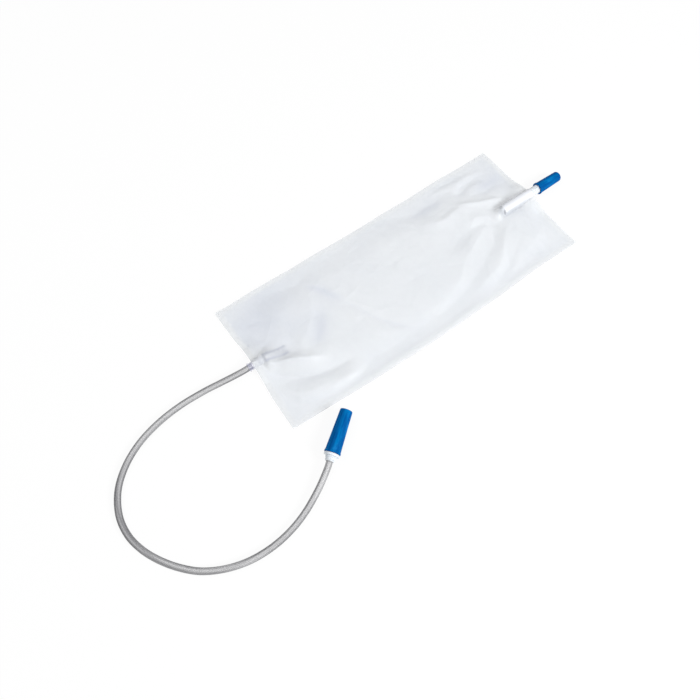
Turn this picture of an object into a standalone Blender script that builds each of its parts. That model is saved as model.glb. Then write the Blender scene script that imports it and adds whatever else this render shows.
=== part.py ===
"""Urine drainage bag, lying flat and empty.

Two clear films are welded into a pouch. An inlet port with a flutter valve stands in its -X edge and a
white outlet spout in its +X edge. A clear drainage tube runs from the port to a white connector. Blue
push-on caps close the connector and the spout. Metres, +Z up. The pouch lies on z = 0, and the origin is
under the middle of the pouch together with its port and its outlet cap.
"""

import math
from dataclasses import dataclass

import bmesh
import bpy
from mathutils import Vector

# Fit between touching pieces
CLEARANCE = 0.0003

# Pouch films
BAG_LENGTH = 0.350
BAG_WIDTH = 0.150
FILM = 0.0004
WELD_WIDTH = 0.006
PUFF_HEIGHT = 0.0032
PUFF_RUN = 0.034

# How the welded edge and the front film rise over a port or a spout
TENT_SIDE = 0.026
TENT_DEPTH = 0.016
DRAPE_SIDE = 0.019
DRAPE_OPENING = 0.014
DRAPE_END = 0.030

# Drainage tube
TUBE_DIAMETER = 0.0062
TUBE_BORE = 0.0042
TUBE_POINTS = 48

# Inlet port and its flutter valve
PORT_WALL = 0.0007
PORT_PROUD = 0.005
PORT_INSIDE = 0.014
PORT_SOCKET = 0.008
PORT_BEAD = 0.0005
PORT_BEAD_LENGTH = 0.0015
PORT_HEIGHT = 0.0055
VALVE_FILM = 0.0003
VALVE_OVERLAP = 0.006
VALVE_LENGTH = 0.029
VALVE_MOUTH_WIDTH = 0.0118
VALVE_MOUTH_HEIGHT = 0.0024

# Outlet spout
SPOUT_DIAMETER = 0.0094
SPOUT_BORE = 0.0070
SPOUT_INSIDE = 0.038
SPOUT_SHOWN = 0.010
SPOUT_IN_CAP = 0.016
SPOUT_CHAMFER = 0.0005
SPOUT_HEIGHT = 0.0065
SPOUT_OFFSET = -0.002

# Outlet cap
OUTLET_CAP_LENGTH = 0.030
OUTLET_CAP_MOUTH = 0.0124
OUTLET_CAP_END = 0.0108
OUTLET_CAP_CAVITY_END = 0.0080
OUTLET_CAP_ROUNDING = 0.0022

# Inlet cap
INLET_CAP_LENGTH = 0.042
INLET_CAP_MOUTH = 0.0149
INLET_CAP_END = 0.0118
INLET_CAP_WALL = 0.0013
INLET_CAP_ROUNDING = 0.0009

# Both caps
CAP_END_WALL = 0.0015
CAP_LIP = 0.0003
CAP_LIP_LENGTH = 0.0016
FLUTES = 18
FLUTE_DEPTH = 0.00018
FLUTE_MARGIN = 0.0035

# Connector
CONNECTOR_BORE = 0.0040
COLLAR_DIAMETER = 0.0146
COLLAR_THICKNESS = 0.0024
TAIL_LENGTH = 0.005
TAIL_ROOT_DIAMETER = 0.0110
TAIL_WALL = 0.0008
TAIL_SOCKET = 0.006
BOSS_LENGTH = 0.005
NOSE_LENGTH = 0.034
NOSE_ROOT_DIAMETER = 0.0096
NOSE_TIP_DIAMETER = 0.0062
NOSE_STEPS = 3
NOSE_STEP = 0.0005
CONNECTOR_TURN = math.radians(37.7)
CONNECTOR_RISE = math.radians(2.5)

# Facets round a turned piece
TURNED_STEPS = 36
VALVE_STEPS = 20

# Grid lines of the films: cells along the middle, and places where lines stand near each end
FRONT_MIDDLE_CELLS = 28
BACK_MIDDLE_CELLS = 6
END_LINES = (0.0, 0.003, 0.006, 0.0085, 0.012, 0.016, 0.021, 0.027, 0.033, 0.038, 0.043)
PIPE_LINE_ANGLES = (90.0, 67.5, 45.0, 22.5, 0.0)
OUTER_LINES = 8

# Where the pouch's ends lie on X, so that the origin is in the middle of all that lies flat
INLET_EDGE = (PORT_PROUD - BAG_LENGTH - SPOUT_SHOWN - OUTLET_CAP_LENGTH) / 2
OUTLET_EDGE = INLET_EDGE + BAG_LENGTH
HALF_WIDTH = BAG_WIDTH / 2

# Drainage tube's route, measured from the middle of the inlet edge
TUBE_ROUTE = (
    (0.0025, 0.0, PORT_HEIGHT),
    (-0.010, 0.0, PORT_HEIGHT),
    (-0.022, 0.0012, 0.0049),
    (-0.036, 0.0032, 0.0038),
    (-0.054, 0.0052, 0.0032),
    (-0.079, 0.0055, 0.0032),
    (-0.104, 0.0022, 0.0032),
    (-0.127, -0.0050, 0.0032),
    (-0.147, -0.0170, 0.0032),
    (-0.1625, -0.0335, 0.0032),
    (-0.1712, -0.0540, 0.0032),
    (-0.1722, -0.0740, 0.0032),
    (-0.1672, -0.0925, 0.0032),
    (-0.1582, -0.1095, 0.0032),
    (-0.1465, -0.1248, 0.0032),
    (-0.1325, -0.1378, 0.0032),
    (-0.1145, -0.1478, 0.0032),
    (-0.0940, -0.1540, 0.0032),
    (-0.0725, -0.1556, 0.0032),
    (-0.0525, -0.1532, 0.0033),
    (-0.0335, -0.1474, 0.0038),
    (-0.0140, -0.1380, 0.0052),
    (0.0022, -0.1280, 0.0068),
)
# Middle of the collar's face that the inlet cap sits on, measured from the middle of the inlet edge
CONNECTOR_PLACE = (0.0148, -0.1183, 0.0083)


@dataclass(frozen=True)
class Passage:
    """A pipe that leaves the pouch through a welded edge, and how the films lie over it."""

    edge: float
    inward: float
    offset: float
    height: float
    radius: float
    inner_radius: float
    reach: float

    def depth(self, x):
        """Distance from the welded edge into the pouch."""
        return (x - self.edge) * self.inward

    def radius_at(self, x):
        """Radius of the film's channel: tight in the weld, and clear of the valve behind it."""
        return blend(self.radius, self.inner_radius, smooth((self.depth(x) - WELD_WIDTH) / CHANNEL_STEP))

    def side(self, y):
        """Distance from the pipe's centre line, along Y."""
        return abs(y - self.offset)


@dataclass(frozen=True)
class Crease:
    """A fold in the front film: its height, half width and line, measured from the inlet edge."""

    height: float
    width: float
    line: tuple


PORT_RADIUS = TUBE_DIAMETER / 2 + CLEARANCE + PORT_WALL
VALVE_RADIUS = PORT_RADIUS + CLEARANCE + VALVE_FILM
AROUND = CLEARANCE + FILM
CHANNEL_STEP = PORT_INSIDE - VALVE_OVERLAP - WELD_WIDTH
INLET = Passage(
    INLET_EDGE, 1.0, 0.0, PORT_HEIGHT, PORT_RADIUS + AROUND, VALVE_RADIUS + AROUND, PORT_INSIDE
)
SPOUT_CHANNEL = SPOUT_DIAMETER / 2 + AROUND
OUTLET = Passage(OUTLET_EDGE, -1.0, SPOUT_OFFSET, SPOUT_HEIGHT, SPOUT_CHANNEL, SPOUT_CHANNEL, SPOUT_INSIDE)
PASSAGES = (INLET, OUTLET)

CREASES = (
    # From the spout's inner end towards the +Y edge
    Crease(0.0042, 0.0065, ((0.316, 0.012), (0.300, 0.020), (0.281, 0.028), (0.256, 0.025), (0.236, 0.032))),
    Crease(0.0030, 0.0055, ((0.327, 0.053), (0.300, 0.054), (0.287, 0.047), (0.283, 0.038))),
    Crease(0.0026, 0.0050, ((0.300, 0.055), (0.279, 0.060), (0.262, 0.062))),
    Crease(-0.0026, 0.0085, ((0.322, 0.030), (0.304, 0.039))),
    Crease(-0.0022, 0.0095, ((0.257, 0.050), (0.238, 0.046))),
    # The fan of long folds from the spout towards the -Y edge
    Crease(
        0.0040,
        0.0070,
        ((0.306, 0.001), (0.286, -0.010), (0.266, -0.021), (0.244, -0.031), (0.218, -0.039), (0.170, -0.043)),
    ),
    Crease(
        -0.0028,
        0.0060,
        ((0.306, -0.014), (0.291, -0.025), (0.265, -0.040), (0.240, -0.050), (0.212, -0.056), (0.180, -0.058)),
    ),
    Crease(0.0032, 0.0060, ((0.304, -0.024), (0.286, -0.041), (0.262, -0.053), (0.228, -0.063))),
    Crease(-0.0018, 0.0050, ((0.304, -0.036), (0.290, -0.047), (0.262, -0.062))),
    Crease(0.0018, 0.0070, ((0.318, -0.047), (0.290, -0.058), (0.266, -0.067))),
    Crease(0.0018, 0.0055, ((0.284, 0.006), (0.261, 0.001), (0.246, -0.008))),
    # Round the inlet valve
    Crease(0.0034, 0.0075, ((0.012, -0.015), (0.030, -0.027), (0.047, -0.036), (0.070, -0.034))),
    Crease(-0.0024, 0.0070, ((0.012, -0.028), (0.036, -0.044), (0.060, -0.053), (0.076, -0.050))),
    Crease(0.0034, 0.0060, ((0.049, -0.018), (0.062, -0.007), (0.076, 0.008), (0.087, 0.026))),
    Crease(-0.0022, 0.0060, ((0.058, -0.021), (0.071, -0.013), (0.083, -0.003), (0.090, 0.012))),
    # The long arc across the pouch
    Crease(0.0024, 0.0080, ((0.058, 0.058), (0.084, 0.043), (0.101, 0.024), (0.111, 0.002), (0.126, -0.022),
                            (0.146, -0.048))),
)


def smooth(value):
    """Smooth step from 0 at value 0 to 1 at value 1."""
    value = max(0.0, min(1.0, value))
    return value * value * (3 - 2 * value)


def blend(low, high, share):
    """The value at that share of the way from low to high."""
    return low + (high - low) * share


def reset_scene():
    """Clears the scene's objects and returns a new collection for the parts."""
    for obj in list(bpy.data.objects):
        bpy.data.objects.remove(obj, do_unlink=True)
    parts = bpy.data.collections.new("urine_drainage_bag")
    bpy.context.scene.collection.children.link(parts)
    return parts


def make_material(name, color, roughness, alpha=1.0):
    """A Principled material."""
    material = bpy.data.materials.new(name)
    material.use_nodes = True
    shader = material.node_tree.nodes["Principled BSDF"]
    shader.inputs["Base Color"].default_value = (*color, 1.0)
    shader.inputs["Roughness"].default_value = roughness
    shader.inputs["Alpha"].default_value = alpha
    return material


def add_object(parts, name, data, material):
    """Links a new object that has one material."""
    obj = bpy.data.objects.new(name, data)
    data.materials.append(material)
    parts.objects.link(obj)
    return obj


def place_along(obj, location, direction):
    """Puts an object's origin at a location and turns its local +Z to a direction."""
    obj.location = location
    obj.rotation_euler = Vector((0, 0, 1)).rotation_difference(direction).to_euler()


def pouch_point(x, y, z):
    """A point that is measured from the middle of the inlet edge."""
    return Vector((INLET_EDGE + x, y, z))


# Film surfaces


def edge_distance(x, y):
    """Distance from the nearest edge of the pouch."""
    return min(x - INLET_EDGE, OUTLET_EDGE - x, HALF_WIDTH - abs(y))


def weld_level(x, y):
    """Height of the plane in which the two films meet along the welded edge."""
    level = FILM + CLEARANCE / 2
    rise = 0.0
    for passage in PASSAGES:
        across = smooth(1 - (passage.side(y) - passage.radius_at(x)) / TENT_SIDE)
        inwards = smooth(1 - (passage.depth(x) - WELD_WIDTH) / TENT_DEPTH)
        rise = max(rise, (passage.height - level) * across * inwards)
    return level + rise


def round_pipe(passage, x, y):
    """Half height of the film's round channel about a pipe, at its outer face."""
    return math.sqrt(max(0.0, passage.radius_at(x) ** 2 - passage.side(y) ** 2))


def crease_height(x, y):
    """Sum of the folds at a point."""
    point = Vector((x - INLET_EDGE, y))
    total = 0.0
    for crease in CREASES:
        nearest = min(
            segment_distance(point, Vector(start), Vector(end))
            for start, end in zip(crease.line, crease.line[1:])
        )
        total += crease.height * math.exp(-((nearest / crease.width) ** 2))
    return total


def segment_distance(point, start, end):
    """Distance from a point to a straight segment in the plane."""
    along = end - start
    share = max(0.0, min(1.0, (point - start).dot(along) / along.length_squared))
    return (point - start - along * share).length


def valve_top(x, y):
    """Lowest height that keeps the front film's outer face clear of the flutter valve."""
    share = (INLET.depth(x) - PORT_INSIDE + VALVE_OVERLAP) / VALVE_LENGTH
    if not -0.05 < share < 1.1:
        return 0.0
    half_width, half_height, height = valve_section(share)
    half_width += AROUND
    half_height += AROUND
    across = INLET.side(y) / half_width
    if across > 1:
        return 0.0
    return height + half_height * math.sqrt(1 - across**2)


def front_height(x, y):
    """Height of the front film's outer face."""
    welded = weld_level(x, y) + CLEARANCE / 2 + FILM
    loose = edge_distance(x, y) - WELD_WIDTH
    puff = PUFF_HEIGHT * smooth(loose / PUFF_RUN)
    folds = crease_height(x, y) * smooth(loose / (PUFF_RUN / 2))
    height = max(welded + puff + folds, welded)
    for passage in PASSAGES:
        depth = passage.depth(x)
        radius = passage.radius_at(x)
        top = passage.height + radius
        opening = smooth((depth - WELD_WIDTH) / DRAPE_OPENING)
        run = blend(radius, DRAPE_SIDE, opening)
        across = smooth(1 - passage.side(y) / run)
        ahead = smooth(1 - (depth - passage.reach) / DRAPE_END)
        height = max(height, blend(height, top, across * ahead))
        if depth < passage.reach + AROUND and passage.side(y) < radius:
            height = max(height, passage.height + round_pipe(passage, x, y))
    return max(height, valve_top(x, y))


def back_height(x, y):
    """Height of the back film's outer face, which is 0 away from the ports."""
    height = weld_level(x, y) - CLEARANCE / 2 - FILM
    for passage in PASSAGES:
        if passage.side(y) < passage.radius_at(x):
            height = min(height, passage.height - round_pipe(passage, x, y))
    return max(0.0, height)


def lines_along(middle_cells):
    """Grid lines along X, close together near both ends."""
    middle = BAG_LENGTH - 2 * END_LINES[-1]
    inner = [END_LINES[-1] + middle * i / middle_cells for i in range(1, middle_cells)]
    far = [BAG_LENGTH - line for line in reversed(END_LINES)]
    return [INLET_EDGE + line for line in (*END_LINES, *inner, *far)]


def line_across(index, x):
    """Place on Y of a grid line: round the pipes near the ends, and even in the middle of the pouch."""
    count = len(PIPE_LINE_ANGLES) + OUTER_LINES
    even = HALF_WIDTH * index / count
    near_outlet = smooth(1 - (OUTLET.depth(x) - SPOUT_INSIDE) / DRAPE_END)
    near_inlet = smooth(1 - (INLET.depth(x) - SPOUT_INSIDE) / DRAPE_END)
    radius = (OUTLET if near_outlet > near_inlet else INLET).radius_at(x)
    order = abs(index)
    if order < len(PIPE_LINE_ANGLES):
        near = radius * math.cos(math.radians(PIPE_LINE_ANGLES[order]))
    else:
        share = (order - len(PIPE_LINE_ANGLES) + 1) / (OUTER_LINES + 1)
        near = blend(radius, HALF_WIDTH, blend(share**2, share, 0.45))
    near = math.copysign(near, index)
    y = blend(even, near, max(near_outlet, near_inlet))
    return y + SPOUT_OFFSET * near_outlet * (1 - (y / HALF_WIDTH) ** 2)


def make_film(parts, name, material, height_at, middle_cells, thicken):
    """A welded film: a grid that follows a height, thickened to one side by a Solidify modifier."""
    across = len(PIPE_LINE_ANGLES) + OUTER_LINES
    along = lines_along(middle_cells)
    shape = bmesh.new()
    bmesh.ops.create_grid(shape, x_segments=len(along) - 1, y_segments=2 * across, size=1.0)
    for vert in shape.verts:
        column = round((vert.co.x + 1) / 2 * (len(along) - 1))
        row = round(vert.co.y * across)
        x = along[column]
        y = line_across(row, x)
        vert.co = (x, y, height_at(x, y))
    mesh = bpy.data.meshes.new(name)
    shape.to_mesh(mesh)
    shape.free()
    mesh.shade_smooth()
    obj = add_object(parts, name, mesh, material)
    solidify = obj.modifiers.new("Film thickness", "SOLIDIFY")
    solidify.thickness = FILM
    solidify.offset = thicken
    solidify.use_even_offset = True
    solidify.use_quality_normals = True
    return obj


# Turned pieces


def turned(parts, name, profile, material, closed, steps=TURNED_STEPS):
    """A piece turned about its local Z from (radius, height) points that run down its outer side."""
    mesh = bpy.data.meshes.new(name)
    count = len(profile)
    edges = [(i, i + 1) for i in range(count - 1)]
    if closed:
        edges.append((count - 1, 0))
    mesh.from_pydata([(radius, 0.0, height) for radius, height in profile], edges, [])
    obj = add_object(parts, name, mesh, material)
    screw = obj.modifiers.new("Turn", "SCREW")
    screw.axis = "Z"
    screw.steps = steps
    screw.render_steps = steps
    screw.use_merge_vertices = True
    screw.merge_threshold = 0.00001
    screw.use_smooth_shade = True
    return obj


def rounded_corner(radius, height, rounding, points=4):
    """Points from the end face round an outer corner and down the side."""
    return [
        (
            radius - rounding + rounding * math.sin(angle),
            height - rounding + rounding * math.cos(angle),
        )
        for angle in (math.pi / 2 * i / points for i in range(points + 1))
    ]


def flute(obj, low, high, inner_limit):
    """Presses shallow lengthwise flutes into the outer side of a turned cap between two heights."""
    graph = bpy.context.evaluated_depsgraph_get()
    turned_mesh = bpy.data.meshes.new_from_object(obj.evaluated_get(graph))
    obj.modifiers.clear()
    obj.data = turned_mesh
    for vert in turned_mesh.vertices:
        radius = math.hypot(vert.co.x, vert.co.y)
        if radius < inner_limit(vert.co.z) or not low < vert.co.z < high:
            continue
        turn = math.atan2(vert.co.y, vert.co.x)
        depth = FLUTE_DEPTH * (1 - math.cos(turn * FLUTES)) / 2
        vert.co.x *= (radius - depth) / radius
        vert.co.y *= (radius - depth) / radius
    turned_mesh.shade_smooth()
    turned_mesh.set_sharp_from_angle(angle=math.radians(50))


def make_cap(parts, name, material, length, mouth, end, rounding, cavity):
    """A blue push-on cap: mouth at local z = 0, closed end at +z, with a lip, flutes and a cavity."""

    def outside(z):
        return blend(mouth, end, z / length) / 2

    flute_low = FLUTE_MARGIN
    flute_high = length - FLUTE_MARGIN
    fade = FLUTE_DEPTH * 4
    side = [
        (outside(flute_high + fade), flute_high + fade),
        (outside(flute_high), flute_high),
        (outside(length / 2), length / 2),
        (outside(flute_low), flute_low),
        (outside(flute_low - fade), flute_low - fade),
        (outside(CAP_LIP_LENGTH) + CAP_LIP, CAP_LIP_LENGTH - CAP_LIP),
        (outside(0) + CAP_LIP, CAP_LIP),
        (outside(0), 0.0),
    ]
    profile = [(0.0, length), *rounded_corner(end / 2, length, rounding)[:-1], *side, *cavity]
    cap = turned(parts, name, profile, material, closed=False, steps=FLUTES * 3)
    flute(cap, flute_low - fade / 2, flute_high + fade / 2, lambda z: outside(z) - CAP_LIP)
    return cap


# The object's pieces


def make_front_film(parts):
    """Upper film of the pouch, folded and draped over the valve and the spout."""
    material = make_material("clear_film_front", (0.80, 0.84, 0.90), 0.28, alpha=0.45)
    return make_film(parts, "front_film", material, front_height, FRONT_MIDDLE_CELLS, thicken=-1.0)


def make_back_film(parts):
    """Lower film of the pouch, flat on the surface."""
    material = make_material("clear_film_back", (0.80, 0.84, 0.90), 0.30, alpha=0.45)
    return make_film(parts, "back_film", material, back_height, BACK_MIDDLE_CELLS, thicken=1.0)


def make_inlet_port(parts):
    """Clear sleeve that is welded between the films, with a socket for the tube."""
    socket = TUBE_DIAMETER / 2 + CLEARANCE
    bore = TUBE_BORE / 2
    mouth = PORT_PROUD
    bead = PORT_RADIUS + PORT_BEAD
    profile = [
        (PORT_RADIUS, mouth - PORT_BEAD_LENGTH - PORT_BEAD),
        (PORT_RADIUS, -PORT_INSIDE),
        (bore, -PORT_INSIDE),
        (bore, mouth - PORT_SOCKET),
        (socket, mouth - PORT_SOCKET),
        (socket, mouth),
        (bead, mouth),
        (bead, mouth - PORT_BEAD_LENGTH),
    ]
    material = make_material("clear_port", (0.83, 0.86, 0.90), 0.18, alpha=0.6)
    port = turned(parts, "inlet_port", profile, material, closed=True)
    place_along(port, pouch_point(0.0, 0.0, PORT_HEIGHT), Vector((-1, 0, 0)))
    return port


def valve_section(share):
    """Half width, half height and centre height of the valve at a share of its length."""
    flattening = smooth((share * VALVE_LENGTH - VALVE_OVERLAP) / (VALVE_LENGTH - VALVE_OVERLAP) * 1.25)
    half_width = blend(VALVE_RADIUS, VALVE_MOUTH_WIDTH / 2, flattening)
    half_height = blend(VALVE_RADIUS, VALVE_MOUTH_HEIGHT / 2, flattening)
    rest = FILM + CLEARANCE + VALVE_MOUTH_HEIGHT / 2
    return half_width, half_height, blend(PORT_HEIGHT, rest, flattening)


def make_valve(parts):
    """Flutter valve: a film sleeve that is round on the port and flat at its mouth."""
    sections = 9
    start = PORT_INSIDE - VALVE_OVERLAP
    shape = bmesh.new()
    previous = None
    for index in range(sections):
        share = index / (sections - 1)
        half_width, half_height, height = valve_section(share)
        ring = bmesh.ops.create_circle(shape, segments=VALVE_STEPS, radius=1.0)["verts"]
        for vert in ring:
            vert.co = pouch_point(
                start + VALVE_LENGTH * share, half_width * vert.co.x, height + half_height * vert.co.y
            )
        edges = [edge for edge in shape.edges if edge.verts[0] in ring and edge.verts[1] in ring]
        if previous:
            bmesh.ops.bridge_loops(shape, edges=previous + edges)
        previous = edges
    bmesh.ops.recalc_face_normals(shape, faces=shape.faces)
    mesh = bpy.data.meshes.new("flutter_valve")
    shape.to_mesh(mesh)
    shape.free()
    mesh.shade_smooth()
    material = make_material("valve_film", (0.72, 0.78, 0.90), 0.30, alpha=0.6)
    valve = add_object(parts, "flutter_valve", mesh, material)
    solidify = valve.modifiers.new("Film thickness", "SOLIDIFY")
    solidify.thickness = VALVE_FILM
    solidify.offset = -1.0
    return valve


def make_outlet_spout(parts):
    """White pipe that is welded between the films and ends inside the outlet cap."""
    radius = SPOUT_DIAMETER / 2
    bore = SPOUT_BORE / 2
    tip = SPOUT_SHOWN + SPOUT_IN_CAP
    profile = [
        (radius - SPOUT_CHAMFER, tip),
        (radius, tip - SPOUT_CHAMFER),
        (radius, -SPOUT_INSIDE + SPOUT_CHAMFER),
        (radius - SPOUT_CHAMFER, -SPOUT_INSIDE),
        (bore, -SPOUT_INSIDE),
        (bore, tip),
    ]
    material = make_material("white_spout", (0.93, 0.93, 0.94), 0.30)
    spout = turned(parts, "outlet_spout", profile, material, closed=True)
    place_along(spout, Vector((OUTLET_EDGE, SPOUT_OFFSET, SPOUT_HEIGHT)), Vector((1, 0, 0)))
    return spout


def make_outlet_cap(parts):
    """Blue cap on the outlet spout. It pulls off along +X."""
    bore = SPOUT_DIAMETER / 2 + CLEARANCE
    seat = SPOUT_IN_CAP + CLEARANCE
    cavity = [
        (bore, 0.0),
        (bore, seat),
        (OUTLET_CAP_CAVITY_END / 2, OUTLET_CAP_LENGTH - CAP_END_WALL),
        (0.0, OUTLET_CAP_LENGTH - CAP_END_WALL),
    ]
    material = make_material("blue_outlet_cap", (0.0, 0.17, 0.50), 0.32)
    cap = make_cap(
        parts,
        "outlet_cap",
        material,
        OUTLET_CAP_LENGTH,
        OUTLET_CAP_MOUTH,
        OUTLET_CAP_END,
        OUTLET_CAP_ROUNDING,
        cavity,
    )
    place = Vector((OUTLET_EDGE + SPOUT_SHOWN, SPOUT_OFFSET, SPOUT_HEIGHT))
    place_along(cap, place, Vector((1, 0, 0)))
    return cap


def connector_axis():
    """Direction from the tube to the tip of the connector."""
    flat = math.cos(CONNECTOR_RISE)
    return Vector(
        (flat * math.cos(CONNECTOR_TURN), flat * math.sin(CONNECTOR_TURN), math.sin(CONNECTOR_RISE))
    )


def cap_bore(z):
    """Radius of the inlet cap's tapered cavity at a distance from its mouth."""
    return blend(INLET_CAP_MOUTH, INLET_CAP_END, z / INLET_CAP_LENGTH) / 2 - INLET_CAP_WALL


def make_inlet_cap(parts):
    """Blue tapered cap on the connector. It pulls off along the connector's axis."""
    inner_end = INLET_CAP_LENGTH - CAP_END_WALL
    cavity = [(cap_bore(0.0), 0.0), (cap_bore(inner_end), inner_end), (0.0, inner_end)]
    material = make_material("blue_inlet_cap", (0.0, 0.17, 0.50), 0.32)
    cap = make_cap(
        parts,
        "inlet_cap",
        material,
        INLET_CAP_LENGTH,
        INLET_CAP_MOUTH,
        INLET_CAP_END,
        INLET_CAP_ROUNDING,
        cavity,
    )
    place_along(cap, pouch_point(*CONNECTOR_PLACE) + connector_axis() * CLEARANCE, connector_axis())
    return cap


def make_connector(parts):
    """White connector: stepped nose, boss that holds the cap, collar, and a tail with the tube's socket."""
    bore = CONNECTOR_BORE / 2
    socket = TUBE_DIAMETER / 2 + CLEARANCE
    tail = -COLLAR_THICKNESS - TAIL_LENGTH
    root = NOSE_ROOT_DIAMETER / 2
    tip = NOSE_TIP_DIAMETER / 2
    nose = []
    for step in range(NOSE_STEPS):
        top = blend(NOSE_LENGTH, BOSS_LENGTH, step / NOSE_STEPS)
        low = blend(NOSE_LENGTH, BOSS_LENGTH, (step + 1) / NOSE_STEPS)
        nose.append((blend(tip, root, step / NOSE_STEPS) - NOSE_STEP / 2, top))
        nose.append((blend(tip, root, (step + 1) / NOSE_STEPS) + NOSE_STEP / 2, low + NOSE_STEP))
    profile = [
        *nose,
        (root, BOSS_LENGTH),
        (cap_bore(BOSS_LENGTH) - CLEARANCE, BOSS_LENGTH),
        (cap_bore(0.0) - CLEARANCE, 0.0),
        (COLLAR_DIAMETER / 2, 0.0),
        (COLLAR_DIAMETER / 2, -COLLAR_THICKNESS),
        (TAIL_ROOT_DIAMETER / 2, -COLLAR_THICKNESS),
        (socket + TAIL_WALL, tail),
        (socket, tail),
        (socket, tail + TAIL_SOCKET),
        (bore, tail + TAIL_SOCKET),
        (bore, NOSE_LENGTH),
    ]
    material = make_material("white_connector", (0.92, 0.93, 0.93), 0.35)
    connector = turned(parts, "inlet_connector", profile, material, closed=True)
    place_along(connector, pouch_point(*CONNECTOR_PLACE), connector_axis())
    return connector


# Drainage tube


def smooth_route(points, count):
    """Points at equal distances along a smooth curve through the route's points."""
    line = [points[0] * 2 - points[1], *points, points[-1] * 2 - points[-2]]
    fine = []
    per_span = 24
    for before, start, end, after in zip(line, line[1:], line[2:], line[3:]):
        for step in range(per_span):
            t = step / per_span
            fine.append(
                (
                    start * 2
                    + (end - before) * t
                    + (before * 2 - start * 5 + end * 4 - after) * t**2
                    + (start * 3 - before - end * 3 + after) * t**3
                )
                / 2
            )
    fine.append(points[-1])
    travelled = [0.0]
    for start, end in zip(fine, fine[1:]):
        travelled.append(travelled[-1] + (end - start).length)
    route = []
    index = 0
    for number in range(count):
        target = travelled[-1] * number / (count - 1)
        while index < len(fine) - 2 and travelled[index + 1] < target:
            index += 1
        share = (target - travelled[index]) / (travelled[index + 1] - travelled[index])
        route.append(fine[index].lerp(fine[index + 1], share))
    return route


def make_drainage_tube(parts):
    """Clear tube from the port's socket to the connector's socket."""
    tail_end = -COLLAR_THICKNESS - TAIL_LENGTH + TAIL_SOCKET - CLEARANCE
    last = pouch_point(*CONNECTOR_PLACE) + connector_axis() * tail_end
    tail_mouth = pouch_point(*CONNECTOR_PLACE) - connector_axis() * (COLLAR_THICKNESS + TAIL_LENGTH)
    chosen = [pouch_point(*point) for point in TUBE_ROUTE]
    chosen[0].x = INLET_EDGE - PORT_PROUD + PORT_SOCKET - CLEARANCE
    route = smooth_route([*chosen, tail_mouth, last], TUBE_POINTS)
    curve = bpy.data.curves.new("drainage_tube", "CURVE")
    curve.dimensions = "3D"
    curve.bevel_depth = TUBE_DIAMETER / 2
    curve.bevel_resolution = 3
    curve.use_fill_caps = True
    spline = curve.splines.new("POLY")
    spline.points.add(len(route) - 1)
    for point, place in zip(spline.points, route):
        point.co = (*place, 1.0)
    spline.use_smooth = True
    material = make_material("clear_tube", (0.82, 0.83, 0.85), 0.15, alpha=0.6)
    return add_object(parts, "drainage_tube", curve, material)


def main():
    """Builds the whole object."""
    parts = reset_scene()
    make_front_film(parts)
    make_back_film(parts)
    make_inlet_port(parts)
    make_valve(parts)
    make_outlet_spout(parts)
    make_outlet_cap(parts)
    make_drainage_tube(parts)
    make_connector(parts)
    make_inlet_cap(parts)


main()
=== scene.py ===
"""Finished look of a small urine drainage bag that lies flat and empty.

The film pouch, the port and flutter valve in its inlet edge, the outlet spout, both push-on caps, the stepped
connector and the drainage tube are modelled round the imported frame, each with its own finish. Metres, +Z up.
The pouch lies on z = 0, its length runs along X and its inlet edge is the -X one.
"""

from __future__ import annotations

import logging
import math
from collections.abc import Callable, Iterator, Mapping, Sequence
from dataclasses import dataclass
from enum import Enum
from typing import TypeAlias

import bmesh
import bpy
import numpy as np
from mathutils import Matrix, Vector

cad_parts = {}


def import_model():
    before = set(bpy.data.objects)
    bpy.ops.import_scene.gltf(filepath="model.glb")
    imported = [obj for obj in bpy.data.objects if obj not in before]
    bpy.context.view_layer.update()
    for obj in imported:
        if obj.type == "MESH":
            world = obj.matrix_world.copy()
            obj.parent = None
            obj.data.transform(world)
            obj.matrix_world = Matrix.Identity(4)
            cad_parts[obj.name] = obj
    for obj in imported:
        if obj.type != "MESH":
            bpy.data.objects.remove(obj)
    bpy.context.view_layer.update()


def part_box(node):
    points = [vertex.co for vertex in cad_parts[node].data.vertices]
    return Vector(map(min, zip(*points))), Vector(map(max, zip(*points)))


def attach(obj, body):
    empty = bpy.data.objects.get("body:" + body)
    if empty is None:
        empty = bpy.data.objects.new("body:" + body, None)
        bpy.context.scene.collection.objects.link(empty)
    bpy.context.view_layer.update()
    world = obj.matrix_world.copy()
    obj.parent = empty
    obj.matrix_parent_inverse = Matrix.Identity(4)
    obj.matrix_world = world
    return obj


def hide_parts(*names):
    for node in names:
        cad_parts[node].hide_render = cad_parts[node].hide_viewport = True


LOG = logging.getLogger("drainage_bag")

# A linear colour, three numbers along X, Y and Z, one number for each point, and what shader maths takes
Colour: TypeAlias = tuple[float, float, float, float]
Triple: TypeAlias = tuple[float, float, float]
Field: TypeAlias = np.ndarray
Value: TypeAlias = "Wire | float"

# Colour of the background and of plain light
WHITE: Colour = (1.0, 1.0, 1.0, 1.0)
# Metres in a millimetre
MM = 0.001
# Points that lie nearer than this are one point
SAME_PLACE = 0.000002
# Edges of a sheet that turn by more than this stay hard
RIM_ANGLE = math.radians(55.0)
# Gap that neighbouring pieces keep to each other
CLEARANCE = 0.0003


class Body(Enum):
    """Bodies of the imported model."""

    BAG = "bag"
    INLET_CAP = "inlet_cap"
    OUTLET_CAP = "outlet_cap"


class Slot(Enum):
    """Material slots of the record."""

    FILM = "clear_film"
    PORT = "clear_port"
    VALVE = "valve_film"
    TUBE = "clear_tube"
    WHITE = "white_plastic"
    BLUE = "blue_plastic"


class Attribute(Enum):
    """Names of the numbers that the points of a piece carry for its finish."""

    EDGE = "edge_distance"
    PAINTED_SHADE_AND_STREAKS = "painted_shade_and_streaks"
    DENSITY = "milkiness"


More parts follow.
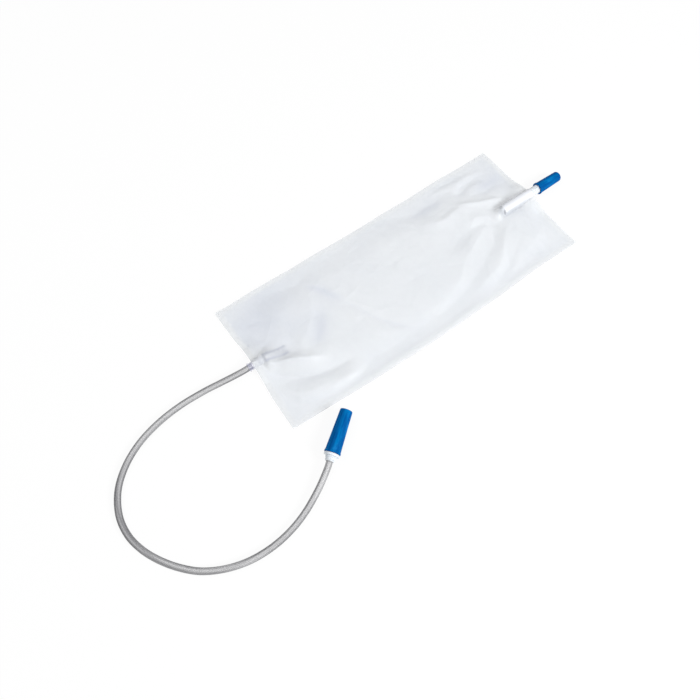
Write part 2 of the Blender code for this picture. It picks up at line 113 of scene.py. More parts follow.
def srgb(red: int, green: int, blue: int) -> Colour:
    """Turns display values from 0 to 255 into a linear colour.

    Args:
        red: The red value.
        green: The green value.
        blue: The blue value.

    Returns:
        The colour, with an alpha of 1.
    """
    linear = []
    for value in (red, green, blue):
        share = value / 255
        linear.append(share / 12.92 if share <= 0.04045 else ((share + 0.055) / 1.055) ** 2.4)
    return (*linear, 1.0)


def smooth(value: Field | float) -> Field:
    """Smooth step from 0 at value 0 to 1 at value 1."""
    held = np.clip(value, 0.0, 1.0)
    return held * held * (3 - 2 * held)


def between(low: Field | float, high: Field | float, share: Field | float) -> Field:
    """The value at that share of the way from low to high."""
    return low + (high - low) * share


def smooth_line(points: Sequence[Sequence[float]], count: int, pieces: int = 24) -> Field:
    """Runs a smooth curve through points.

    Args:
        points: The points that the curve passes, in any number of dimensions.
        count: How many points of the curve are returned.
        pieces: Straight pieces that stand for the curve between two points while it is measured.

    Returns:
        That many points at equal distances along the curve.
    """
    chosen = np.array(points, float)
    line = np.vstack([2 * chosen[0] - chosen[1], chosen, 2 * chosen[-1] - chosen[-2]])
    steps = np.linspace(0, 1, pieces, endpoint=False)[:, None]
    spans = []
    for before, start, end, after in zip(line, line[1:], line[2:], line[3:]):
        linear = (end - before) * steps
        square = (2 * before - 5 * start + 4 * end - after) * steps**2
        cube = (3 * start - before - 3 * end + after) * steps**3
        spans.append((2 * start + linear + square + cube) / 2)
    fine = np.vstack([*spans, chosen[-1:]])
    travelled = np.concatenate([[0], np.cumsum(np.linalg.norm(np.diff(fine, axis=0), axis=1))])
    places = np.linspace(0, travelled[-1], count)
    return np.stack([np.interp(places, travelled, column) for column in fine.T], axis=1)


# Shader maths


class Wire:
    """A shader socket that stands in a Python expression. Each operator adds one Math node."""

    def __init__(self, graph: Graph, socket: bpy.types.NodeSocket) -> None:
        """Wraps an output socket of a graph."""
        self.graph = graph
        self.socket = socket

    def maths(self, operation: str, *values: Value) -> Wire:
        """Adds a Math node with this operation on the values, in order."""
        return self.graph.add("ShaderNodeMath", {"operation": operation}, dict(enumerate(values)))

    def __add__(self, other: Value) -> Wire:
        """Sum."""
        return self.maths("ADD", self, other)

    __radd__ = __add__

    def __sub__(self, other: Value) -> Wire:
        """Difference."""
        return self.maths("SUBTRACT", self, other)

    def __rsub__(self, other: Value) -> Wire:
        """Difference with this socket on the right."""
        return self.maths("SUBTRACT", other, self)

    def __mul__(self, other: Value) -> Wire:
        """Product."""
        return self.maths("MULTIPLY", self, other)

    __rmul__ = __mul__

    def step(self, low: float, high: float) -> Wire:
        """Smooth step from 0 where this socket is low to 1 where it is high."""
        settings = {"interpolation_type": "SMOOTHSTEP"}
        return self.graph.add("ShaderNodeMapRange", settings, {"Value": self, "From Min": low, "From Max": high})

    def bump_at(self, place: float, width: float) -> Wire:
        """A round bump of height 1 where this socket is at a place, and 0 from a width away."""
        off = self.maths("ABSOLUTE", self - place)
        return 1 - off.step(0.0, width)


def total(wires: Sequence[Wire]) -> Wire:
    """Sum of sockets, in order."""
    return sum(wires[1:], wires[0])


class Graph:
    """The nodes of a material or of a world, with one method that adds any node."""

    def __init__(self, owner: bpy.types.Material | bpy.types.World) -> None:
        """Empties the node tree of its owner.

        Args:
            owner: The material or world whose nodes these are.
        """
        owner.use_nodes = True
        self.owner = owner
        self.tree = owner.node_tree
        self.tree.nodes.clear()

    @classmethod
    def of_material(cls, name: str) -> Graph:
        """Starts the graph of a new material."""
        return cls(bpy.data.materials.new(name))

    def add(
        self,
        kind: str,
        settings: Mapping[str, object] | None = None,
        sockets: Mapping[str | int, object] | None = None,
        output: int | str = 0,
    ) -> Wire:
        """Adds a node.

        Args:
            kind: The node's type.
            settings: Its properties, which are set first.
            sockets: Values or wires of its inputs, by name or number.
            output: The output to return, by name or number.

        Returns:
            The chosen output.
        """
        node = self.tree.nodes.new(kind)
        for name, value in (settings or {}).items():
            setattr(node, name, value)
        for name, value in (sockets or {}).items():
            if isinstance(value, Wire):
                self.tree.links.new(value.socket, node.inputs[name])
            else:
                node.inputs[name].default_value = value
        if not node.outputs:
            return Wire(self, node.inputs[0])
        return Wire(self, node.outputs[output])

    def place(self) -> Wire:
        """The point that is shaded, in metres."""
        return self.add("ShaderNodeTexCoord", output="Object")

    def stretched(self, scale: Sequence[float], turn: float = 0.0) -> Wire:
        """The shaded point, turned about Z and stretched."""
        sockets = {"Vector": self.place(), "Scale": scale, "Rotation": (0.0, 0.0, turn)}
        return self.add("ShaderNodeMapping", {"vector_type": "TEXTURE"}, sockets)

    def attribute(self, name: Attribute) -> Wire:
        """A number that the piece's points carry."""
        return self.add("ShaderNodeAttribute", {"attribute_name": name.value}, output="Fac")

    def noise(self, size: float, detail: float = 3.0, where: Wire | None = None) -> Wire:
        """Soft noise from 0 to 1 with blotches of a size in metres."""
        sockets = {"Vector": where or self.place(), "Scale": 1 / size, "Detail": detail}
        return self.add("ShaderNodeTexNoise", None, sockets)

    def mix(self, share: Value, first: Wire | Colour, second: Wire | Colour) -> Wire:
        """A colour between two colours. The node's colour sockets share their names, so they go by number."""
        settings = {"data_type": "RGBA", "clamp_factor": True}
        return self.add("ShaderNodeMix", settings, {0: share, 6: first, 7: second}, output=2)

    def bump(self, height: Wire, distance: float, under: Wire | None = None) -> Wire:
        """A normal from a height between 0 and 1 that stands for a distance in metres, laid over another normal."""
        sockets = {"Height": height, "Distance": distance} | ({"Normal": under} if under else {})
        return self.add("ShaderNodeBump", None, sockets)

    def principled(self, sockets: Mapping[str, object]) -> bpy.types.Material:
        """Ends the graph in one Principled shader with these sockets."""
        return self.surface(self.add("ShaderNodeBsdfPrincipled", None, sockets))

    def surface(self, shader: Wire) -> bpy.types.Material:
        """Ends the graph in a shader, and returns its material."""
        self.add("ShaderNodeOutputMaterial", None, {"Surface": shader})
        return self.owner


@dataclass(frozen=True)
class FilmFinish:
    """Soft milky film with cooler, darker patches painted as shade in low film and along crease lines, and an embossed
    weld.

    Attributes:
        emboss: Height of the ribs that are pressed into the weld.
        drawn: Colour of film that is drawn tight.
        tint: How much of that colour it takes.
        cover: How much more it hides.
        cloudiness: Strength of the broad clouds, and of the fine ones.
        clouds: Size of both in metres.
        rim: Run over which the cut edge thins out.
        ribs: Place from the edge and half width of each rib.
        creases: Size, detail and share of each kind of crinkle.
    """

    name: str
    milky: Colour
    shade_tint: Colour
    welded: Colour
    alpha: float
    weld_alpha: float
    roughness: float = 0.34
    gloss: float = 0.38
    weld_width: float = 0.006
    emboss: float = 0.000012
    drawn: Colour = srgb(222, 224, 230)
    tint: float = 0.8
    cover: float = 0.74
    cloudiness: tuple[float, float] = (0.08, 0.03)
    clouds: tuple[float, float] = (0.045, 0.007)
    rim: float = 0.0003
    ribs: tuple[tuple[float, float], ...] = ((0.0016, 0.0013), (0.0042, 0.0013), (0.0072, 0.0026))
    crinkle: float = 0.00030
    creases: tuple[tuple[float, float, float], ...] = ((0.016, 2.0, 0.8), (0.0055, 1.0, 0.2))

    def material(self) -> bpy.types.Material:
        """Builds the film's material.

        Returns:
            The material.
        """
        graph = Graph.of_material(self.name)
        edge, painted_shade_and_streaks, dense = (graph.attribute(name) for name in Attribute)
        broad, fine = (graph.noise(size) for size in self.clouds)
        weld = 1 - edge.step(self.weld_width * 0.5, self.weld_width * 1.3)
        # Painted shade: the film takes its cooler, darker colour in low film and along crease lines.
        body = graph.mix((painted_shade_and_streaks + broad * 0.5 - 0.25).step(0.0, 1.0), self.milky, self.shade_tint)
        colour = graph.mix(dense * self.tint, graph.mix(weld, body, self.welded), self.drawn)
        cloudy = self.alpha + (broad - 0.5) * self.cloudiness[0] + (fine - 0.5) * self.cloudiness[1]
        opacity = cloudy + dense * self.cover + weld * (self.weld_alpha - self.alpha)
        press = graph.bump(total([edge.bump_at(place, width) for place, width in self.ribs]), self.emboss)
        crinkles = total([graph.noise(size, detail) * share for size, detail, share in self.creases])
        return graph.principled(
            {
                "Base Color": colour,
                "Roughness": self.roughness + (fine - 0.5) * 0.10 + weld * 0.10,
                "Alpha": opacity * (edge.step(0.0, self.rim) * 0.8 + 0.2),
                "Normal": graph.bump(crinkles, self.crinkle, press),
                "Specular IOR Level": self.gloss,
            }
        )


@dataclass(frozen=True)
class ClearFinish:
    """Clear soft vinyl: nearly see-through in its middle and denser where the wall is seen on edge, where its darker
    side colour is painted shade that stands for refraction.

    Attributes:
        tint: Colour of its middle.
        wall: Colour of its sides, which paints the shade that refraction gives there.
        thick_alpha: How much more it hides where it carries the full density.
        shade: How much nearer to the wall's colour it is there.
        streaking: Strength of the streaks that it carries in the attribute that also holds the film's painted shade.
        edge_on: Turn away from the eye at which the sides begin, and at which they are full.
        draw: Size and height of the marks left by drawing.
    """

    name: str
    tint: Colour
    wall: Colour
    alpha: float
    wall_alpha: float
    thick_alpha: float = 0.0
    shade: float = 0.4
    streaking: float = 0.0
    roughness: float = 0.14
    gloss: float = 0.3
    edge_on: tuple[float, float] = (0.06, 0.42)
    clouds: float = 0.022
    draw: tuple[float, float] = (0.004, 0.00001)

    def material(self) -> bpy.types.Material:
        """Builds the vinyl's material.

        Returns:
            The material.
        """
        graph = Graph.of_material(self.name)
        thick = graph.attribute(Attribute.DENSITY)
        side = graph.add("ShaderNodeLayerWeight", None, {"Blend": 0.5}, output="Facing")
        cloud = graph.noise(self.clouds, 2.0) - 0.5
        draw = graph.noise(self.draw[0], 2.0)
        # The sides are denser, and their darker colour is painted refraction shade.
        dense = side.step(*self.edge_on)
        streak = (graph.attribute(Attribute.PAINTED_SHADE_AND_STREAKS) - 0.5) * self.streaking
        middle = self.alpha + thick * self.thick_alpha + cloud * 0.06 + streak * 0.5
        sides = self.alpha + dense * (self.wall_alpha - self.alpha)
        tone = dense * 0.8 + thick * self.shade + cloud * 0.2 + streak
        return graph.principled(
            {
                "Base Color": graph.mix(tone, self.tint, self.wall),
                "Roughness": self.roughness + (draw - 0.5) * 0.08,
                "Alpha": middle.maths("MAXIMUM", middle, sides),
                "Normal": graph.bump(draw, self.draw[1]),
                "Specular IOR Level": self.gloss,
            }
        )


@dataclass(frozen=True)
class MouldedFinish:
    """Injection-moulded plastic: even colour with soft flow marks, fine grain and lighter blotches.

    Attributes:
        glow: How much light goes into it, as in white plastic.
        glow_depth: How deep that light goes.
        axis_turn: Turn about Z of the way that the flow marks run, from X.
        marks: Size of the flow marks, the grain and the blotches.
        lighter_range: Where the lighter blotches begin and are full, from 0 to 1.
    """

    name: str
    colour: Colour
    deep: Colour
    lighter_tone: Colour
    roughness: float
    gloss: float = 0.5
    glow: float = 0.0
    glow_depth: float = 0.0025
    grain: float = 0.00003
    axis_turn: float = 0.0
    marks: tuple[float, float, float] = (0.004, 0.0006, 0.010)
    lighter_range: tuple[float, float] = (0.56, 0.70)

    def material(self) -> bpy.types.Material:
        """Builds the plastic's material.

        Returns:
            The material.
        """
        graph = Graph.of_material(self.name)
        flow_size, grain_size, blotch_size = self.marks
        flow = graph.noise(flow_size, 4.0, graph.stretched((4.0, 1.0, 1.0), self.axis_turn))
        grain = graph.noise(grain_size, 2.0)
        blotch = graph.noise(blotch_size)
        body = graph.mix(flow.step(0.35, 0.75), self.deep, self.colour)
        # Lighter blotches at random places.
        lighter_share = (blotch * 0.6 + flow * 0.4).step(*self.lighter_range)
        return graph.principled(
            {
                "Base Color": graph.mix(lighter_share * 0.55, body, self.lighter_tone),
                "Roughness": self.roughness + (grain - 0.5) * 0.14 + (blotch - 0.5) * 0.10,
                "Normal": graph.bump(grain * 0.4 + flow * 0.6, self.grain),
                "Specular IOR Level": self.gloss,
                "Subsurface Weight": self.glow,
                "Subsurface Radius": (1.0, 1.0, 1.0),
                "Subsurface Scale": self.glow_depth,
            }
        )


# Meshes


def add_object(name: str, data: bpy.types.ID) -> bpy.types.Object:
    """Links a new object that shows a mesh, a lamp or a camera.

    Args:
        name: The object's name.
        data: What it shows.

    Returns:
        The object.
    """
    thing = bpy.data.objects.new(name, data)
    bpy.context.scene.collection.objects.link(thing)
    return thing


def add_piece(mesh: bpy.types.Mesh, finish: bpy.types.Material) -> bpy.types.Object:
    """Adds a smooth-shaded piece under its mesh's name.

    Args:
        mesh: The piece's mesh.
        finish: Its material.

    Returns:
        The piece.
    """
    mesh.materials.append(finish)
    mesh.shade_smooth()
    return add_object(mesh.name, mesh)


def settle(piece: bpy.types.Object, body: Body, slot: Slot, node: str) -> bpy.types.Object:
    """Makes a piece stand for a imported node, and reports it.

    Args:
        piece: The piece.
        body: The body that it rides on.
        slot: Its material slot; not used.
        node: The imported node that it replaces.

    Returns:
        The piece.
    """
    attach(piece, body.value)
    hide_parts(node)
    LOG.info("%s stands for %s on %s", piece.name, node, body.value)
    return piece


def grid_piece(
    name: str,
    cells: tuple[int, int],
    place: Callable[[Field, Field], tuple[Field, Mapping[Attribute, Field]]],
    finish: FilmFinish | ClearFinish,
    wall: float,
    rolled: bool = False,
    offset: float = -1.0,
) -> bpy.types.Object:
    """Makes a piece with an even wall from a grid.

    Args:
        name: The piece's name.
        cells: Cells along the grid's two directions.
        place: Takes the column and row number of every point. Gives their positions, one row each, and the numbers
            that they carry.
        finish: The piece's finish.
        wall: Thickness of its wall.
        rolled: Whether the grid's first and last row meet.
        offset: Side to which the wall goes: -1 for inwards or down, 1 for outwards or up.

    Returns:
        The piece.
    """
    form = bmesh.new()
    bmesh.ops.create_grid(form, x_segments=cells[0], y_segments=cells[1], size=1.0)
    mesh = bpy.data.meshes.new(name)
    form.to_mesh(mesh)
    flat = np.zeros(len(mesh.vertices) * 3, np.float32)
    mesh.vertices.foreach_get("co", flat)
    column, row = (np.rint((flat[axis::3] + 1) / 2 * cells[axis]).astype(int) for axis in (0, 1))
    positions, carried = place(column, row)
    mesh.vertices.foreach_set("co", positions.astype(np.float32).ravel())
    mesh.update()
    for attribute, values in carried.items():
        data = mesh.attributes.new(attribute.value, "FLOAT", "POINT").data
        data.foreach_set("value", values.astype(np.float32))
    form.clear()
    if rolled:
        form.from_mesh(mesh)
        bmesh.ops.remove_doubles(form, verts=form.verts, dist=SAME_PLACE)
        bmesh.ops.recalc_face_normals(form, faces=form.faces)
        form.to_mesh(mesh)
    form.free()
    piece = add_piece(mesh, finish.material())
    solidify = piece.modifiers.new("Wall", "SOLIDIFY")
    solidify.thickness = wall
    solidify.offset = offset
    solidify.use_even_offset = True
    solidify.use_quality_normals = True
    piece.data = bpy.data.meshes.new_from_object(piece.evaluated_get(bpy.context.evaluated_depsgraph_get()))
    piece.modifiers.clear()
    piece.data.set_sharp_from_angle(angle=RIM_ANGLE)
    return piece


@dataclass(frozen=True)
class Corner:
    """A corner of a turned outline: its radius and height, and the radius that rounds it."""

    radius: float
    height: float
    round: float = 0.0


@dataclass(kw_only=True)
class TurnedPiece:
    """A piece that is turned round its local Z.

    Attributes:
        node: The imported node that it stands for.
        sharp: Edges that turn by more than these degrees stay hard.
        closed: Whether the outline is a ring; if not, both its ends lie on the axis.
        rows: Longest run of the outline without a row of points; 0 for no extra rows.
        arc_points: Points on each rounded corner.
    """

    name: str
    node: str
    slot: Slot
    body: Body = Body.BAG
    steps: int = 72
    sharp: float = 32.0
    closed: bool = True
    rows: float = 0.0
    arc_points: int = 5

    def corners(self) -> Sequence[Corner]:
        """The outline's corners, in order."""
        raise NotImplementedError

    def pressed(self, point: Vector) -> Vector:
        """Where a point of the turned shape goes before it is placed."""
        return point

    def outline(self) -> Iterator[Vector]:
        """Rounds the outline's corners.

        Yields:
            Points in the XZ plane.
        """
        corners = self.corners()
        places = [Vector((corner.radius, 0.0, corner.height)) for corner in corners]
        count = len(places)
        for index, (corner, place) in enumerate(zip(corners, places)):
            if corner.round <= 0 or not (self.closed or 0 < index < count - 1):
                yield place
                continue
            before = (places[index - 1] - place).normalized()
            after = (places[(index + 1) % count] - place).normalized()
            half = before.angle(after) / 2
            reach = corner.round / math.tan(half)
            centre = place + (before + after).normalized() * (corner.round / math.sin(half))
            start = place + before * reach - centre
            end = place + after * reach - centre
            for step in range(self.arc_points):
                yield centre + start.slerp(end, step / (self.arc_points - 1)) * corner.round

    def build(self, frame: Matrix, finish: MouldedFinish | ClearFinish) -> bpy.types.Object:
        """Builds the piece.

        Args:
            frame: Where its local origin and axes go.
            finish: Its finish.

        Returns:
            The piece.
        """
        form = bmesh.new()
        verts = [form.verts.new(point) for point in self.outline()]
        edges = [form.edges.new(pair) for pair in zip(verts, verts[1:])]
        if self.closed:
            edges.append(form.edges.new((verts[-1], verts[0])))
        for edge in edges if self.rows else ():
            cuts = int(edge.calc_length() / self.rows)
            if cuts:
                bmesh.ops.subdivide_edges(form, edges=[edge], cuts=cuts)
        bmesh.ops.spin(
            form,
            geom=[*form.verts, *form.edges],
            cent=(0, 0, 0),
            axis=(0, 0, 1),
            angle=math.tau,
            steps=self.steps,
            use_merge=True,
        )
        bmesh.ops.remove_doubles(form, verts=form.verts, dist=SAME_PLACE)
        bmesh.ops.recalc_face_normals(form, faces=form.faces)
        for vert in form.verts:
            vert.co = self.pressed(vert.co)
        bmesh.ops.transform(form, matrix=frame, verts=form.verts)
        mesh = bpy.data.meshes.new(self.name)
        form.to_mesh(mesh)
        form.free()
        piece = add_piece(mesh, finish.material())
        piece.data.set_sharp_from_angle(angle=math.radians(self.sharp))
        return settle(piece, self.body, self.slot, self.node)


def facing(place: Sequence[float], direction: Sequence[float]) -> Matrix:
    """The frame at a place whose local Z points along a direction."""
    turn = Vector((0, 0, 1)).rotation_difference(Vector(direction)).to_matrix().to_4x4()
    return Matrix.Translation(place) @ turn


# The object


@dataclass(frozen=True)
class Wave:
    """A sine wave over the pouch.

    Attributes:
        along: Radians in a metre along X.
        across: Radians in a metre along Y.
        phase: Its angle at the frame's middle.
        height: Its height.
    """

    along: float
    across: float = 0.0
    phase: float = 0.0
    height: float = 1.0

    def at(self, x: Field, y: Field) -> Field:
        """The wave's value at points."""
        return self.height * np.sin(self.along * x + self.across * y + self.phase)


@dataclass(frozen=True)
class Fold:
    """A fold in the front film, in millimetres from the middle of the inlet edge.

    Attributes:
        height: Height of its crest, or below 0 the depth of its trough.
        left: Distance over which it dies away on the left of its line.
        right: The same on the right.
        line: X and Y of the points that it runs through, in turn.
        crest: How round its crest is.
        spacing: Distance of the soft dabs that it is made of.
        overlap: Reach of a dab over that distance.
        fade_in: Share of the line over which it rises.
        fade_out: Share of the line over which it ends.
    """

    height: float
    left: float
    right: float
    line: tuple[float, ...]
    crest: float = 1.6
    spacing: float = 4.5
    overlap: float = 1.1
    fade_in: float = 0.22
    fade_out: float = 0.25

    def lift(self, x: Field, y: Field) -> Field:
        """Finds how much the fold raises the film.

        Args:
            x: Places on X.
            y: Places on Y.

        Returns:
            Its height at each point.
        """
        corners = np.reshape(self.line, (-1, 2))
        drawn = np.linalg.norm(np.diff(corners, axis=0), axis=1).sum()
        count = max(6, int(drawn / self.spacing))
        path = smooth_line(corners, count)
        gap = np.linalg.norm(path[1] - path[0])
        reach = self.overlap * gap
        run = np.gradient(path, axis=0)
        run /= np.linalg.norm(run, axis=1)[:, None]
        share = (np.arange(count) + 0.5) / count
        ends = smooth(share / self.fade_in) * smooth((1 - share) / self.fade_out)
        height = np.zeros(x.shape)
        for place, way, strength in zip(path, run, ends):
            ahead = (x - place[0]) * way[0] + (y - place[1]) * way[1]
            across = (y - place[1]) * way[0] - (x - place[0]) * way[1]
            width = np.where(across > 0, self.left, self.right)
            fall = (np.hypot(across, self.crest) - self.crest) / width
            height += strength * np.exp(-0.5 * (ahead / reach) ** 2 - fall)
        return self.height * height * gap / (reach * math.sqrt(math.tau))


# The folds that can be told in the photograph
FOLDS = (
    # From the spout's inner end towards the +Y edge
    Fold(3.4, 4, 3.6, (322.5, 12.5, 311.2, 16.3, 298.1, 21.4, 284.7, 28.7, 276.2, 33.2)),
    Fold(3.4, 12.6, 6, (283.4, 25.7, 271.5, 27.5, 258.8, 25.5, 245, 27.7, 238.9, 41.5)),
    # Ridges and hollows in the +Y corner of the outlet end
    Fold(1.22, 2.3, 4.1, (337.9, 52.9, 324.9, 55.1, 310, 55.7, 296.9, 55.8, 287.1, 49.8, 279.4, 40.2)),
    Fold(0.88, 1.8, 5.6, (298.5, 56.9, 283.8, 57.6, 273.3, 61.9, 260.8, 62)),
    Fold(-3.6, 13.4, 7.1, (334.2, 48.6, 318.2, 51.7, 303.9, 52.1, 294.1, 46.5, 279.4, 48.2)),
    Fold(-1.26, 3.6, 6.9, (344.8, 32.3, 329.7, 32.6, 316.6, 30.6, 304.7, 33.5, 291.6, 33.8)),
    Fold(2.29, 9.8, 11.1, (322.2, 43.3, 309.8, 44.1, 299.9, 43.8)),
    Fold(-0.37, 1.8, 4.9, (275.5, 39.2, 261.5, 38.8, 249.5, 38.5, 235, 37.7, 225.8, 46.6)),
    Fold(-1.6, 8.5, 5.6, (275.7, 53.7, 260.6, 53.9, 247.9, 59.2, 230.7, 64.3, 227.2, 45)),
    Fold(0.95, 6.5, 3.1, (345.1, 59.9, 317.9, 59.7, 289.7, 60.9, 270.3, 69.4, 255.1, 70)),
    # The fan of long folds from the spout towards the -Y edge
    Fold(0.99, 4.8, 10.2, (
        316.9, 4.2, 300.8, 5.8, 283.8, -6.4, 263.6, -15.5, 243.3, -24.7, 219.8, -39.8, 189.8, -47.1,
        157.5, -45.4,
    )),
    Fold(-2.19, 13.5, 14, (
        320, -8.9, 299.7, -8.1, 286.6, -21.6, 263.7, -35.3, 238.7, -44.9, 214.2, -53.2, 190.3, -56.4,
    )),
    Fold(2.04, 7.6, 11.4, (317.3, -14.2, 300.5, -21.5, 283.6, -36.6, 266.6, -49.3, 244.9, -53.9, 221.5, -58.4)),
    Fold(-0.46, 1.8, 4.1, (312.3, -32.4, 297.7, -42.4, 280.5, -52.6, 261.5, -60.2, 239.9, -64.1)),
    Fold(1.1, 7.5, 14, (335.6, -37.2, 317.2, -48.6, 289.9, -54.8, 265.3, -71.1)),
    Fold(3.13, 9.6, 7.6, (299.1, -0.3, 282.8, 7.5, 270.5, -1, 258.6, -7.9, 243.3, -12.5, 232.5, -20.9)),
    Fold(-3.21, 4.1, 13.7, (293.1, -8.7, 275.2, 0, 260.3, -6.6, 246.6, -11, 235.7, -16)),
    Fold(1.07, 8.3, 8.6, (296.4, 11, 278.1, 21.2, 266.5, 5.2, 250, 4.5)),
    # Round the inlet valve
    Fold(7.2, 8, 6.5, (-16, -1, 2, -5, 18, -11, 32, -17.5, 47, -24.5, 68, -32)),
    Fold(-4.2, 7, 7, (-14, -9, 3, -16, 20, -28, 40, -38.5, 62, -44, 94, -46)),
    Fold(1.4, 9, 12, (-16, -22, 2.5, -33, 17.5, -45, 32.5, -53, 49.5, -58, 78, -58, 104, -54)),
    Fold(1.8, 14, 11, (42, -29, 47.4, -11.4, 58.6, -3.1, 69.8, 6.9, 81.1, 21.2, 86.6, 41.8)),
    Fold(-1.68, 14, 10.6, (41.6, -27.7, 52.8, -17.4, 65.4, -14.2, 73.8, -2.8, 79.9, 9.7, 87.8, 23.2)),
    # The long arc across the pouch
    Fold(-1.5, 5, 6.1, (88, 45, 94.1, 40, 101.3, 29.5, 103.8, 17.6, 115.1, 8)),
    Fold(-1.4, 5.5, 4.4, (99.9, 9.5, 116.6, -2, 125.6, -20.6, 138.7, -41.2, 160.1, -55.8)),
    Fold(-1.41, 5.5, 14, (57, 60, 70.9, 57, 86.2, 54.5, 100.1, 68.8)),
    # Along the -Y edge
    Fold(-4.4, 2.6, 4.5, (65.6, -62, 90.1, -65.7, 130.2, -65.2, 175.3, -65.6, 235.4, -63.2)),
    Fold(-1.5, 14, 8.1, (79.7, -56.4, 109.6, -65.2, 160.1, -64.8, 215.3, -55.8)),
    Fold(2.03, 14, 14, (4.1, -49.8, 20.4, -54.2, 40.5, -54.1, 63.5, -57.3, 91.7, -66.4)),
    Fold(-1.52, 14, 5.6, (8.1, -62.5, 25.9, -67.1, 50, -69.6)),
    # The hollow between the valve's mouth and the bright crest
    Fold(-1.2, 5, 5, (20, -7, 32, -9, 42, -11.5, 52, -14)),
    # The gutter at the foot of the spout
    Fold(-1.5, 2.5, 3, (346, -9.5, 336, -8.8, 324, -9, 312, -10)),
)
# Lines and patches where the film is painted in its cooler, darker colour as shade. Their heights are shares
SHADE_LINES = (
    Fold(0.6, 3.0, 3.0, (92, 43, 98, 37, 103, 29, 107, 20, 111, 12)),
    Fold(0.25, 1.3, 1.3, (112, 10, 117, -2, 127, -22, 141, -42, 156, -56)),
    Fold(0.55, 9, 8, (348, 40, 326, 38, 306, 40)),
    Fold(0.5, 8, 7, (268, 48, 250, 50, 230, 50)),
    Fold(0.5, 5, 4, (64, -14, 76, -6, 86, 8)),
    Fold(0.25, 10, 9, (8, 50, 30, 36, 52, 26)),
)


@dataclass(frozen=True)
class Passage:
    """A pipe that leaves the pouch through a welded edge, and how the films lie over it.

    Attributes:
        edge: Place of the welded edge on X.
        inward: Direction into the pouch, 1 or -1 along X.
        offset: Place of the pipe's middle line on Y.
        height: Height of its middle line.
        radius: Radius of the film's channel in the weld.
        inner_radius: Radius of the channel behind the weld.
        step: Run over which the one becomes the other.
        reach: How far the pipe reaches into the pouch.
        drape: Run of the film down from the pipe on the +Y and on the -Y side.
        crown: Gives the height and the place on Y of the film's crown over the pipe at a depth.
        sleeve: Length of a sleeve on the pipe's end.
        weld: Width of the weld.
        tent_side: Run beside the pipe over which the weld is lifted to it.
        tent_depth: The same behind the weld.
    """

    edge: float
    inward: float
    offset: float
    height: float
    radius: float
    inner_radius: float
    step: float
    reach: float
    drape: tuple[float, float]
    crown: Callable[[Field], tuple[Field, Field]]
    sleeve: float = 0.0
    weld: float = 0.006
    tent_side: float = 0.026
    tent_depth: float = 0.016

    def depth(self, x: Field) -> Field:
        """Distance from the welded edge into the pouch."""
        return (x - self.edge) * self.inward

    def side(self, y: Field) -> Field:
        """Distance from the pipe's middle line, along Y."""
        return np.abs(y - self.offset)

    def radius_at(self, x: Field) -> Field:
        """Radius of the film's channel at a place on X."""
        return between(self.radius, self.inner_radius, smooth((self.depth(x) - self.weld) / self.step))

    def tent(self, x: Field, y: Field) -> Field:
        """Share by which the weld is lifted to the pipe's middle line."""
        across = smooth(1 - (self.side(y) - self.radius_at(x)) / self.tent_side)
        return across * smooth(1 - (self.depth(x) - self.weld) / self.tent_depth)

    def channel(self, x: Field, y: Field) -> Field:
        """Half height of the film's round channel about the pipe."""
        return np.sqrt(np.maximum(0.0, self.radius_at(x) ** 2 - self.side(y) ** 2))


